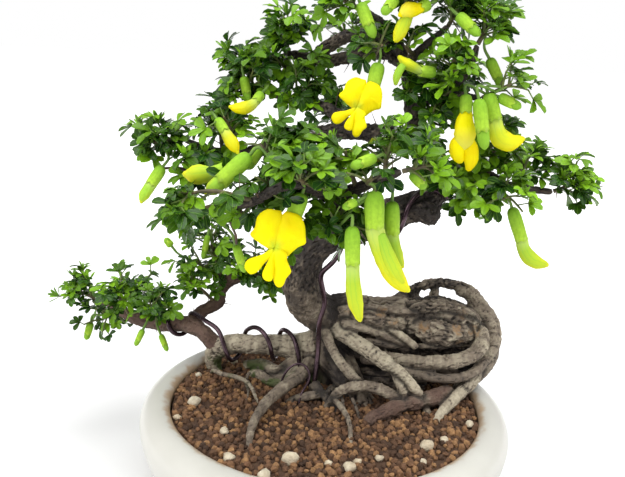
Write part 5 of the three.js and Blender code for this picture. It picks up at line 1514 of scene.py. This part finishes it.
class Foliage:
    """Leaves that keep apart and clear of the blooms, and the shoots and spines between them."""

    def __init__(self, sizes):
        self.sizes = sizes
        self.spots = bloom_spots()
        self.hearts = []
        self.leaves = []
        self.twigs = []
        self.set_placed_leaves()
        for order, name in enumerate(ALL_STEMS):
            self.dress_stem(order, name)
        for order, limb in enumerate(BRANCHES):
            draw = random.Random(820 + order)
            for _ in range(round(LIMBS[limb].length / (sizes.spine_spacing / MM))):
                self.twigs.append((spine(draw, LIMBS[limb], sizes.spine_length / MM), 0.0))
        self.twigs += [(Route(points), 0.0) for points in DRY_TWIGS]

    def set_placed_leaves(self):
        """The single leaves, with the shoots that carry them."""
        draw = random.Random(650)
        stems = [stem_route(name) for name in ALL_STEMS] + [Route(points) for points in DRY_TWIGS]
        spots = [spot for route in stems for spot, _, _ in route.along(12)]
        for heart, goal, fresh in PLACED_LEAVES:
            heart = Vector(heart)
            forward = (Vector(goal) - heart).normalized()
            face = square_to(forward, Vector((0, -1, 0.8)))
            self.hearts.append(heart)
            size = draw.uniform(0.84, 1.0)
            self.leaves.append(leaf_at(heart, forward, face, size, draw.randrange(LEAF_KINDS), fresh))
            start = min(spots, key=lambda spot: (spot - heart + forward * 2).length)
            bend = start.lerp(heart, 0.6) - forward * 0.8
            stalk = Route([(*start, 0.3), (*bend, 0.24), (*heart, 0.2)])
            self.twigs.append((stalk, PLACED_STALK_GREEN))

    def dress_stem(self, order, name):
        """Leaves, side shoots and spines of one stem."""
        draw = random.Random(700 + order)
        stem = stem_route(name)
        self.twigs.append((stem, STEM_GREEN))
        fuller = 1 if name in STEMS else 0.5
        shoots = [(stem, round(fuller * self.sizes.leaves_per_stem))]
        side_shoots = round(fuller * self.sizes.shoots_per_stem)
        for part in range(side_shoots):
            centre, along, _ = stem.at(0.2 + 0.7 * part / max(1, side_shoots - 1))
            out = outward(along, part * GOLDEN_TURN + order) + along * 0.5 + LIGHT * 0.45
            goal = centre + out.normalized() * draw.uniform(4, 9)
            middle = centre.lerp(goal, 0.5) + LIGHT * 0.5
            shoot = Route([(*centre, 0.42), (*middle, 0.36), (*goal, 0.28)])
            shoots.append((shoot, self.sizes.leaves_per_shoot))
        for _ in range(self.sizes.spines_per_stem):
            self.twigs.append((spine(draw, stem, self.sizes.spine_length / MM), SPINE_GREEN))
        for route, count in shoots:
            grown = len(self.leaves)
            end, along, _ = route.at(1)
            if draw.random() < 0.55 and not hides_bloom([end, end + along * 3], self.spots):
                self.leaves.append(tuft_at(draw, end, along))
            first = 0.15 if route is stem else 0.4
            for leaf in range(count):
                self.grow_leaf(draw, name, route, first + 0.85 * leaf / count, leaf * GOLDEN_TURN + order)
            if route is not stem and len(self.leaves) > grown:
                self.twigs.append((route, SHOOT_GREEN))

    def grow_leaf(self, draw, name, route, place_on, turn):
        """A leaf on a shoot, where one fits within a few tries."""
        for _ in range(14):
            share = min(0.98, place_on + 0.1 * draw.random())
            centre, along, _ = route.at(share)
            out = outward(along, turn + draw.uniform(-0.8, 0.8))
            out = (out + along * (0.35 + 0.8 * share) + LIGHT * 0.4 * draw.random()).normalized()
            heart = centre + out * draw.uniform(1.8, 4.2)
            tilt = Vector((draw.uniform(-1, 1), draw.uniform(-1, 1), draw.uniform(-1, 1))) * 0.6
            face = (LIGHT + along * 0.3 + out * 0.35 + tilt).normalized()
            forward = square_to(face, out)
            apart = all((heart - other).length > self.sizes.leaf_gap / MM for other in self.hearts)
            parts = leaf_parts(heart, forward, face)
            if apart and heart.x > LEAF_EDGE and not hides_bloom(parts, self.spots):
                break
        else:
            return
        self.hearts.append(heart)
        young = 0.16 + 0.3 * share * share + TENDER.get(name.split("_")[0], 0.0)
        size = draw.uniform(0.66, 0.98) * (0.86 if name.startswith("low") else 1)
        shape = draw.randrange(LEAF_KINDS)
        fresh = draw.gauss(0.62, 0.2) if draw.random() < young else draw.gauss(0.06, 0.1)
        self.leaves.append(leaf_at(heart, forward, face, size, shape, min(1.0, abs(fresh))))
        stalk = Route([(*centre, 0.24), (*centre.lerp(heart, 0.5), 0.2), (*heart, 0.2)])
        self.twigs.append((stalk, STALK_GREEN))


def make_leaves(sizes, colours):
    """All leaves, and the shoots and spines between them."""
    foliage = Foliage(sizes)
    hearts, turns, scales, kinds, youth = zip(*foliage.leaves)
    piece = new_piece("leaves", hearts, [])
    add_values(piece.data, "turn", turns, "QUATERNION")
    add_values(piece.data, "size", scales)
    add_values(piece.data, "shape", kinds, "INT")
    add_values(piece.data, "fresh", youth)
    shapes = shape_collection("leaf shapes", leaf_shapes(sizes))
    leaf_tree().run(piece, {"Shapes": shapes, "Material": leaf_material(colours)})
    routes = []
    for route, _ in foliage.twigs:
        steps = max(3, round(route.length / 2))
        routes.append([(centre, size) for centre, _, size in route.along(steps)])
    greens = [green for _, green in foliage.twigs]
    return piece, rods("shoots", routes, 6, twig_material(colours), greens)


# Blooms


class Skin:
    """Points and faces of the blooms, with their masks and place on the pattern."""

    def __init__(self):
        self.points = []
        self.faces = []
        self.uvs = []
        self.masks = {"green": [], "calyx": [], "pale": []}

    def add(self, point, uv, **masks):
        """A point with its place on the pattern and its masks, and its number."""
        self.points.append(Vector(point))
        self.uvs.append(uv)
        for mask, values in self.masks.items():
            values.append(masks.get(mask, 0.0))
        return len(self.points) - 1

    def rows(self, rows, start=None, end=None):
        """Skins closed rings of points, and closes the ends to a point where one is given."""
        count = len(rows[0])
        for low, high in zip(rows, rows[1:]):
            for side in range(count):
                after = (side + 1) % count
                self.faces.append((low[side], low[after], high[after], high[side]))
        if start is not None:
            self.faces += [(start, rows[0][(side + 1) % count], rows[0][side]) for side in range(count)]
            self.faces += [(end, rows[-1][side], rows[-1][(side + 1) % count]) for side in range(count)]

    def piece(self, name, material):
        """One piece of all that was added."""
        made = new_piece(name, self.points, self.faces, material)
        layer = made.data.uv_layers.new(name=UV_LAYER)
        for face in made.data.polygons:
            corners = [self.uvs[made.data.loops[loop].vertex_index] for loop in face.loop_indices]
            across = [u for u, _ in corners]
            wraps = max(across) - min(across) > 0.6
            for loop, (u, v) in zip(face.loop_indices, corners):
                layer.data[loop].uv = (u + 1 if wraps and u < 0.5 else u, v)
        for mask, values in self.masks.items():
            add_values(made.data, mask, values)
        return made


CALYX_SIDES = 20
CALYX_TEETH = 5
TOOTH_HEIGHT = 0.9
# Rise along the calyx and width against its radius, outside and then inside
CALYX_OUTSIDE = [
    (0.0, 0.24), (0.02, 0.5), (0.06, 0.72), (0.14, 0.9), (0.3, 0.99), (0.55, 1.0), (0.85, 0.95), (0.99, 0.96),
]
CALYX_INSIDE = [(0.98, 0.9), (0.8, 0.78), (0.5, 0.4)]


def make_calyx(skin, base, mouth, radius):
    """A smooth tube with short teeth, open at its mouth."""
    axis = mouth - base
    length = axis.length
    axis.normalize()
    across = square_to(axis)
    aside = axis.cross(across)
    rows = []
    rim = len(CALYX_OUTSIDE) - 1
    for index, (rise, size) in enumerate(CALYX_OUTSIDE + CALYX_INSIDE):
        at_rim = index in (rim, rim + 1)
        row = []
        for side, angle in enumerate(circle(CALYX_SIDES)):
            tooth = abs(((side * CALYX_TEETH / CALYX_SIDES) % 1) - 0.5) * 2
            centre = base + axis * (length * rise + (TOOTH_HEIGHT * (tooth - 0.5) if at_rim else 0.0))
            spot = centre + (across * math.cos(angle) + aside * math.sin(angle)) * radius * size
            pale = max(0.0, tooth - 0.6) if at_rim else 0.0
            row.append(skin.add(spot, (side / CALYX_SIDES, rise), calyx=1.0, pale=pale, green=1 - rise))
        rows.append(row)
    start = skin.add(base, (0.5, 0), calyx=1.0, green=1.0)
    end = skin.add(base + axis * length * 0.45, (0.5, 1), calyx=1.0)
    skin.rows(rows, start, end)


def loft(skin, route, flat, green_at, sides=16, crease=0.0, calyx=0.0, pale=0.0):
    """A rounded body along a route, flattened and creased like folded petals, paler near its start."""
    steps = max(8, round(route.length / 0.8))
    across = SIDEWAYS
    rows = []
    for step in range(steps + 1):
        share = step / steps
        centre, along, radius = route.at(share)
        across = square_to(along, across)
        aside = along.cross(across)
        light = clamp(pale * (1.7 - 4 * share))
        row = []
        for side, angle in enumerate(circle(sides)):
            x, y = math.cos(angle), math.sin(angle)
            pinch = 1 - crease * math.exp(-(((angle - 1.5 * math.pi) / 0.4) ** 2))
            ripple = 1 + 0.05 * noise.noise(centre * 0.6 + Vector((x, y, 0)) * 1.2)
            width = across * (radius * flat[0] * x * ripple)
            spot = centre + width + aside * (radius * flat[1] * y * pinch * ripple)
            green = green_at(share, angle)
            row.append(skin.add(spot, (side / sides, share), green=green, calyx=calyx, pale=light))
        rows.append(row)
    first, direction, size = route.at(0)
    last, onward, tip_size = route.at(1)
    start = skin.add(first - direction * size * 0.4, (0.5, 0), green=green_at(0, 0), calyx=calyx)
    end = skin.add(last + onward * tip_size * 0.5, (0.5, 1), green=green_at(1, 0), calyx=calyx)
    skin.rows(rows, start, end)


def rounded_loop(corners, parts):
    """A closed outline, made round through its corners, that runs against the clock."""
    spots = [Vector(corner) for corner in corners]
    area = sum(a.x * b.y - b.x * a.y for a, b in zip(spots, spots[1:] + spots[:1]))
    if area < 0:
        spots.reverse()
    count = len(spots)
    loop = []
    for index in range(count):
        before, start, end, after = (spots[(index + shift) % count] for shift in (-1, 0, 1, 2))
        for part in range(parts):
            t = part / parts
            loop.append(
                start
                + (end - before) * 0.5 * t
                + (before * 2 - start * 5 + end * 4 - after) * 0.5 * t * t
                + (start * 3 - before - end * 3 + after) * 0.5 * t**3
            )
    return loop


# The open flower from its throat, x to its right and y up: outline, middle, slope away from the throat
# and bulge
FLOWER_BLADES = [
    ([(1.9, 8.1), (0.2, 9.3), (-2, 9.6), (-4.1, 8.4), (-5, 6.9), (-5.4, 4.8), (-6.8, 2.9), (-5, 1.2),
      (-2.3, -0.6), (-0.3, -1)], (-2.2, 4.2), -0.1, 1.1),
    ([(1.9, 8.1), (4.7, 8.6), (6.8, 7.5), (7.8, 5.1), (8, 2.1), (7.9, 0.3), (5.9, -0.6), (4.1, -2.1),
      (3.1, -2.9), (1.1, -1.4), (-0.2, -0.8)], (3.8, 3.6), -0.1, 1.1),
    ([(-0.6, -0.6), (-3.4, -2.1), (-5.6, -2.8), (-7.4, -3.6), (-8, -5.5), (-6.5, -7.2), (-4.6, -6.6),
      (-3.1, -4.8), (-0.8, -2.4)], (-4.4, -4.2), 0.24, 0.6),
    ([(-0.2, -0.8), (-2.2, -4.5), (-3.3, -6.9), (-2.9, -8.4), (-1.3, -8.9), (-0.5, -8.1), (-0.3, -4.5)],
     (-1.7, -6), 0.36, 0.8),
    ([(-0.2, -0.6), (-0.6, -4.5), (-0.6, -8.1), (0.1, -10.2), (1.3, -10.7), (2.3, -9.9), (2.9, -8.4),
      (4.2, -6.8), (3.8, -5.4), (3.1, -3.6), (3.2, -2.1), (1.1, -0.8)], (1.5, -5.6), 0.26, 0.7),
]
BLADE_RINGS = 6
BLADE_THICK = 0.22


def blade(skin, at, outline, middle, slope, bulge):
    """A thin petal, filled in rings from its outline to its middle."""
    rim = rounded_loop(outline, 3)
    heart = Vector(middle)
    fronts = []
    backs = []
    for ring in range(BLADE_RINGS + 1):
        share = 1 - ring / BLADE_RINGS
        front = []
        back = []
        for spot in rim if ring < BLADE_RINGS else rim[:1]:
            x, y = heart.lerp(spot, share)
            away = math.hypot(x, y)
            wave = 0.5 * share * noise.noise(Vector((x * 0.5, y * 0.5, slope * 9)))
            crumple = 0.12 * noise.noise(Vector((x * 1.3, y * 1.3, 4)))
            z = slope * away + bulge * (1 - share * share) + wave + crumple
            pattern = (math.atan2(x, abs(y) + 0.5) / math.pi + 0.5, away / 10)
            green = max(0.0, 0.75 - away / 3.4)
            front.append(skin.add(at(x, y, z), pattern, green=green))
            back.append(skin.add(at(x, y, z - BLADE_THICK), pattern, green=green))
        fronts.append(front)
        backs.append(back)
    count = len(rim)
    skin.rows([list(reversed(back)) for back in backs[:BLADE_RINGS]])
    skin.rows(fronts[:BLADE_RINGS])
    for side in range(count):
        after = (side + 1) % count
        skin.faces.append((fronts[0][side], backs[0][side], backs[0][after], fronts[0][after]))
        skin.faces.append((fronts[-2][side], fronts[-2][after], fronts[-1][0]))
        skin.faces.append((backs[-2][after], backs[-2][side], backs[-1][0]))


def open_flower(skin, throat, face, up, size):
    """The open pea flower: a standard of two lobes, two wings and a keel."""
    out = Vector(face).normalized()
    rise = square_to(out, Vector(up))
    right = rise.cross(out)

    def at(x, y, z):
        return Vector(throat) + (right * x + rise * y + out * z) * size

    for blade_form in FLOWER_BLADES:
        blade(skin, at, *blade_form)
    return at(0, 0, -0.8)


def stalk_points(stem, share, base, tip):
    """The stalk of a bloom, which leaves its stem and comes to the base from behind."""
    root = stem_route(stem).at(share)[0]
    length = max(1.2, min(3.5, 0.4 * (root - base).length))
    behind = base + (base - tip).normalized() * length
    route = Route([(*root, PEDICEL_R), (*behind, PEDICEL_R), (*base, PEDICEL_R * 1.2)], 0.8)
    return list(zip(route.centres, route.sizes))


def ripening(ripe):
    """How green a petal is along it and round it: its rims and its end turn yellow first."""

    def green_at(share, angle):
        rim = abs(math.cos(angle)) ** 3
        return clamp(1.15 - 0.75 * ripe - (0.25 + 0.7 * ripe) * share - 0.4 * rim * share)

    return green_at


def open_petals(petals, start, mouth, radius, shape):
    """The petals of an open flower, with the claw that holds them in the calyx."""
    back = open_flower(petals, *shape)
    claw = Route([(*start, 0.6 * radius), (*mouth, 0.6 * radius), (*back, 0.9)], 0.6)
    loft(petals, claw, (1, 1), lambda share, angle: 0.9 - 0.3 * share)


def folded_petals(petals, start, lip, radius, ripe, flat, shape):
    """Petals that are still folded, with the end of an inner petal beyond them."""
    route = Route([(*start, 0.7 * radius), (*lip, 0.86 * radius), *shape], 0.6)
    loft(petals, route, flat, ripening(ripe), crease=0.35, pale=0.7 * (1 - ripe))
    tip_from, tip_to = [Vector(point[:3]) for point in shape[-2:]]
    inner_size, size = [point[3] for point in shape[-2:]]
    beyond = tip_to + (tip_to - tip_from).normalized() * 0.7
    inner = Route([(*tip_from, 0.6 * inner_size), (*tip_to, size), (*beyond, 0.6 * size)], 0.5)
    loft(petals, inner, (flat[0] * 0.9, flat[1]), lambda share, angle: 0.55 * (1 - ripe))


def make_blooms(colours):
    """Flowers, their calyxes and the closed buds."""
    bud_rise = [(0.4, 0.6), (0.66, 0.88), (0.84, 0.84), (0.96, 0.6), (1.0, 0.3)]
    material = bloom_material(colours)
    petals = Skin()
    calyxes = Skin()
    stalks = []
    for stem, share, base, mouth, radius, ripe, flat, shape in BLOOMS.values():
        base, mouth = Vector(base), Vector(mouth)
        stalks.append(stalk_points(stem, share, base, mouth))
        make_calyx(calyxes, base, mouth, radius)
        start = base.lerp(mouth, 0.7)
        if ripe is None:
            open_petals(petals, start, mouth, radius, shape)
        else:
            folded_petals(petals, start, base.lerp(mouth, 1.03), radius, ripe, flat, shape)
    for ripe, flat, points in LOOSE_PETALS:
        loft(petals, Route(points, 0.5), flat, ripening(ripe), crease=0.3)
    for stem, share, base, tip, radius in BUDS:
        base, tip = Vector(base), Vector(tip)
        stalks.append(stalk_points(stem, share, base, tip))
        make_calyx(calyxes, base, base.lerp(tip, 0.66), radius)
        route = Route([(*base.lerp(tip, along), size * radius) for along, size in bud_rise], 0.5)
        loft(petals, route, (1, 0.9), lambda share, angle: 1.0, sides=14, crease=0.2, calyx=0.55)
    petal_piece = petals.piece("petals", material)
    calyx_piece = calyxes.piece("calyxes", material)
    stalk_piece = rods("bloom_stalks", stalks, 8, twig_material(colours), [1.0] * len(stalks))
    return petal_piece, calyx_piece, stalk_piece


# Sizes and colours that a user would change


def a_length(label, text, millimetres):
    """A length, given in millimetres and kept in metres."""
    return bpy.props.FloatProperty(
        name=label, description=text, default=millimetres * MM, min=0.0, unit="LENGTH", precision=5
    )


def a_count(label, text, default, least=0):
    """A whole number."""
    return bpy.props.IntProperty(name=label, description=text, default=default, min=least)


def a_colour(label, text, default):
    """A colour."""
    return bpy.props.FloatVectorProperty(
        name=label, description=text, subtype="COLOR", size=3, min=0.0, max=1.0, default=default
    )


class BonsaiSizes(bpy.types.PropertyGroup):
    """Sizes and counts of the bonsai."""

    pot_sides: a_count("Pot sides", "Facets round the bowl", 160, 24)
    grain_spacing: a_length("Grain spacing", "Least distance between granules", 1.4)
    grain_small: a_length("Smallest grain", "Size of the smallest granule", 1.6)
    grain_large: a_length("Largest grain", "Size of the largest granule", 3.2)
    root_skin: a_length("Root detail", "Cell size of the skin of trunk and roots", 0.53)
    branch_skin: a_length("Branch detail", "Cell size of the skin of the branches", 0.42)
    leaflet_length: a_length("Leaflet length", "Length of a grown leaflet", 6.3)
    leaflet_width: a_length("Leaflet width", "Width of a grown leaflet", 3.2)
    spine_length: a_length("Spine length", "Length of a usual spine", 5)
    spine_spacing: a_length("Spine spacing", "Distance between spines on a branch", 8)
    spines_per_stem: a_count("Spines on a stem", "Spines of a leafy stem", 2)
    leaves_per_stem: a_count("Leaves on a stem", "Leaves on the stem itself", 10)
    shoots_per_stem: a_count("Shoots on a stem", "Side shoots of a stem", 7)
    leaves_per_shoot: a_count("Leaves on a shoot", "Leaves on a side shoot", 3)
    leaf_gap: a_length("Leaf gap", "Least distance between leaves", 1.8)


class BonsaiColours(bpy.types.PropertyGroup):
    """Colours of the bonsai."""

    glaze_high: a_colour("Glaze", "Pale glaze", (0.59, 0.58, 0.53))
    glaze_low: a_colour("Glaze runs", "Thin glaze", (0.54, 0.53, 0.48))
    stain: a_colour("Stain", "Soil stain inside the lip", (0.38, 0.24, 0.12))
    bare_clay: a_colour("Bare clay", "Unglazed foot", (0.42, 0.34, 0.26))
    net_dark: a_colour("Net", "Black net", (0.015, 0.017, 0.02))
    net_dusty: a_colour("Dusty net", "Dust on the net", (0.035, 0.034, 0.033))
    grain_dark: a_colour("Dark granules", "Dark granules", (0.055, 0.029, 0.017))
    grain_mid: a_colour("Granules", "Brown granules", (0.205, 0.102, 0.05))
    grain_orange: a_colour("Orange granules", "Light granules", (0.43, 0.235, 0.1))
    pumice_pale: a_colour("Pumice", "Pale pumice", (0.7, 0.64, 0.5))
    pumice_rust: a_colour("Rusty pumice", "Rusty pumice", (0.6, 0.36, 0.13))
    pumice_dust: a_colour("Pumice dust", "Clay dust on the pumice", (0.3, 0.21, 0.12))
    bark_dark: a_colour("Dark bark", "Bark of the trunk", (0.03, 0.023, 0.02))
    bark_mid: a_colour("Brown bark", "Bark of the thick roots", (0.205, 0.162, 0.12))
    bark_pale: a_colour("Pale bark", "Bark of the pale roots", (0.6, 0.53, 0.39))
    bark_plum: a_colour("Plum bark", "Bark of the low branch", (0.135, 0.07, 0.05))
    # Also the painted shade in the seams between limbs
    bark_crack_and_seam_shade: a_colour("Bark cracks", "Cracks and seams", (0.014, 0.011, 0.009))
    bark_speck: a_colour("Bark specks", "Fine dark specks", (0.03, 0.024, 0.02))
    # Painted shade on bark that faces down
    bark_under_shade: a_colour("Undersides", "Bark that faces down", (0.035, 0.024, 0.015))
    bare_wood: a_colour("Bare wood", "Wood at the wounds", (0.42, 0.24, 0.1))
    moss: a_colour("Moss", "Moss at the foot", (0.06, 0.085, 0.02))
    wire: a_colour("Wire", "Anodised wire", (0.085, 0.052, 0.064))
    leaf_dark: a_colour("Grown leaf", "Dark leaves", (0.004, 0.024, 0.005))
    leaf_mid: a_colour("Leaf", "Usual leaves", (0.0125, 0.062, 0.005))
    leaf_young: a_colour("Young leaf", "Yellow-green leaves", (0.22, 0.45, 0.01))
    # Also the painted highlight along the leaflets' rims
    vein_and_rim_highlight: a_colour("Veins", "Midrib, side veins and margin", (0.14, 0.3, 0.03))
    leaf_back: a_colour("Leaf underside", "Pale underside", (0.09, 0.2, 0.04))
    twig_dark: a_colour("Dark twig", "Dark patches of twigs", (0.05, 0.029, 0.02))
    twig_brown: a_colour("Twig", "Brown twigs and spines", (0.125, 0.072, 0.044))
    shoot_dark: a_colour("Dark shoot", "Dark patches of green shoots", (0.1, 0.2, 0.025))
    shoot_green: a_colour("Shoot", "Green shoots and flower stalks", (0.17, 0.3, 0.04))
    petal_yellow: a_colour("Petal", "Yellow petals", (0.9, 0.81, 0.0))
    petal_deep: a_colour("Petal shade", "Deeper yellow", (0.88, 0.68, 0.0))
    petal_green: a_colour("Petal base", "Green at the base of petals", (0.3, 0.53, 0.045))
    calyx_green: a_colour("Calyx", "Green of calyx and buds", (0.22, 0.45, 0.03))
    calyx_pale: a_colour("Pale calyx", "Lighter calyx", (0.45, 0.68, 0.05))
    bloom_edge: a_colour("Bloom edges", "Pale teeth and petal bases", (0.6, 0.72, 0.22))


# Stage


def make_floor():
    """A plain pale floor that glows to white away from the pot."""
    half = 4.0
    level = POT_LOW.z - 0.02 * MM
    points = [(-half, -half, level), (half, -half, level), (half, half, level), (-half, half, level)]
    floor = new_object("floor", new_mesh("floor", points, [], [(0, 1, 2, 3)]))
    grey = (0.86, 0.86, 0.86, 1)
    white = (1, 1, 1, 1)
    made = Paint("floor", Base_Color=grey, Roughness=0.9, Specular_IOR_Level=0.1, Emission_Color=white)
    away = made.length(made.node("ShaderNodeTexCoord").outputs["Object"])
    made.feed(made.shader.inputs["Emission Strength"], made.times(made.rise(away, 0.08, 0.5), 0.6))
    floor.data.materials.append(made.material)


def make_lights():
    """Soft light from all round, with large panels above, before plain white."""
    aim = Vector((ORIGIN.x, ORIGIN.y, 0.09))
    world = bpy.data.worlds.new("soft light")
    bpy.context.scene.world = world
    world.use_nodes = True
    world.node_tree.nodes.clear()
    made = Tree(world.node_tree)
    fill = made.node("ShaderNodeBackground", {"Color": (1, 1, 1, 1), "Strength": 0.5})
    white = made.node("ShaderNodeBackground", {"Color": (1, 1, 1, 1), "Strength": 1.0})
    seen = made.node("ShaderNodeLightPath").outputs["Is Camera Ray"]
    mixed = made.node("ShaderNodeMixShader", {0: seen, 1: fill, 2: white})
    made.node("ShaderNodeOutputWorld", {"Surface": mixed})
    for name, spot, size, power in (
        ("panel_above", (0.1, -0.15, 0.9), 0.9, 10),
        ("panel_left", (-0.8, -0.5, 0.6), 0.6, 4.8),
        ("panel_right", (0.8, -0.3, 0.5), 0.6, 1.3),
    ):
        light = bpy.data.lights.new(name, "AREA")
        light.size = size
        light.energy = power
        lamp = new_object(name, light)
        lamp.location = spot
        lamp.rotation_euler = (aim - Vector(spot)).to_track_quat("-Z", "Y").to_euler()


def make_camera():
    """The camera, where the plant was seen from."""
    data = bpy.data.cameras.new("camera")
    data.sensor_width = SENSOR_MM
    data.lens = FOCAL_PIXELS / PHOTO_WIDTH * SENSOR_MM
    data.clip_start = 0.01
    camera = new_object("camera", data)
    tilt = Matrix.Rotation(math.radians(90 - CAMERA_DOWN), 4, "X")
    roll = Matrix.Rotation(math.radians(CAMERA_ROLL), 4, "Z")
    camera.matrix_world = Matrix.Translation(place(CAMERA_AT)) @ tilt @ roll
    bpy.context.scene.camera = camera


# Operators and panel


class BONSAI_OT_stage(bpy.types.Operator):
    """Make the floor, the lights and the camera"""

    bl_idname = "bonsai.stage"
    bl_label = "Stage"

    def execute(self, context):
        context.scene.view_settings.view_transform = "Standard"
        make_floor()
        make_lights()
        make_camera()
        return {"FINISHED"}


class BONSAI_OT_pot(bpy.types.Operator):
    """Make the glazed bowl and its drain net"""

    bl_idname = "bonsai.pot"
    bl_label = "Pot"

    def execute(self, context):
        colours = context.scene.bonsai_colours
        ride_on(make_pot(context.scene.bonsai_sizes, colours), "glaze", "pot")
        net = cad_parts["drain_mesh"]
        net.data.materials.clear()
        net.data.materials.append(net_material(colours))
        return {"FINISHED"}


class BONSAI_OT_soil(bpy.types.Operator):
    """Make the soil with its granules and pumice"""

    bl_idname = "bonsai.soil"
    bl_label = "Soil"

    def execute(self, context):
        colours = context.scene.bonsai_colours
        material = granule_material(colours)
        bed = make_soil_bed(material)
        grains = make_grains(context.scene.bonsai_sizes, material)
        for piece in (bed, grains, make_pumice(pumice_material(colours))):
            ride_on(piece, "granules", "soil")
        return {"FINISHED"}


class BONSAI_OT_wood(bpy.types.Operator):
    """Make trunk, roots and branches"""

    bl_idname = "bonsai.wood"
    bl_label = "Wood"

    def execute(self, context):
        sizes = context.scene.bonsai_sizes
        material = bark_material(context.scene.bonsai_colours)
        for name, limbs, skin, seam_depth in (
            ("trunk_and_roots", [*ROOTS, *STRANDS], sizes.root_skin, 0.6),
            ("branches", [*BRANCHES], sizes.branch_skin, 0),
        ):
            ride_on(make_wood(name, limbs, skin, seam_depth, material), "bark", "wood")
        return {"FINISHED"}


class BONSAI_OT_wires(bpy.types.Operator):
    """Make the training wires"""

    bl_idname = "bonsai.wires"
    bl_label = "Wires"

    def execute(self, context):
        material = wire_material(context.scene.bonsai_colours)
        for name in WIRES:
            ride_on(rods(f"{name}_round", [wire_route(name)], 12, material), "wire", name)
        return {"FINISHED"}


class BONSAI_OT_leaves(bpy.types.Operator):
    """Make the leaves and their shoots"""

    bl_idname = "bonsai.leaves"
    bl_label = "Leaves"

    def execute(self, context):
        sprays = [f"spray_{name}" for name in STEMS]
        for piece in make_leaves(context.scene.bonsai_sizes, context.scene.bonsai_colours):
            ride_on(piece, "leaf", *sprays)
        return {"FINISHED"}


class BONSAI_OT_blooms(bpy.types.Operator):
    """Make the flowers and buds"""

    bl_idname = "bonsai.blooms"
    bl_label = "Blooms"

    def execute(self, context):
        petals, calyxes, stalks = make_blooms(context.scene.bonsai_colours)
        ride_on(petals, "petal", *[f"petals_{name}" for name in BLOOMS])
        ride_on(calyxes, "leaf")
        ride_on(stalks, "leaf")
        return {"FINISHED"}


STEPS = (
    BONSAI_OT_stage,
    BONSAI_OT_pot,
    BONSAI_OT_soil,
    BONSAI_OT_wood,
    BONSAI_OT_wires,
    BONSAI_OT_leaves,
    BONSAI_OT_blooms,
)


class BONSAI_PT_panel(bpy.types.Panel):
    """Steps that make the bonsai, and its sizes and colours"""

    bl_idname = "BONSAI_PT_panel"
    bl_label = "Bonsai"
    bl_space_type = "VIEW_3D"
    bl_region_type = "UI"
    bl_category = "Bonsai"

    def draw(self, context):
        for step in STEPS:
            self.layout.operator(step.bl_idname)
        for values in (context.scene.bonsai_sizes, context.scene.bonsai_colours):
            for name in type(values).__annotations__:
                self.layout.prop(values, name)


CLASSES = (BonsaiSizes, BonsaiColours, *STEPS, BONSAI_PT_panel)


def register():
    for item in CLASSES:
        bpy.utils.register_class(item)
    bpy.types.Scene.bonsai_sizes = bpy.props.PointerProperty(type=BonsaiSizes)
    bpy.types.Scene.bonsai_colours = bpy.props.PointerProperty(type=BonsaiColours)


def unregister():
    del bpy.types.Scene.bonsai_colours
    del bpy.types.Scene.bonsai_sizes
    for item in reversed(CLASSES):
        bpy.utils.unregister_class(item)


def main():
    register()
    bpy.ops.bonsai.stage()
    bpy.ops.bonsai.pot()
    bpy.ops.bonsai.soil()
    bpy.ops.bonsai.wood()
    bpy.ops.bonsai.wires()
    bpy.ops.bonsai.leaves()
    bpy.ops.bonsai.blooms()


if __name__ == "__main__":
    main()
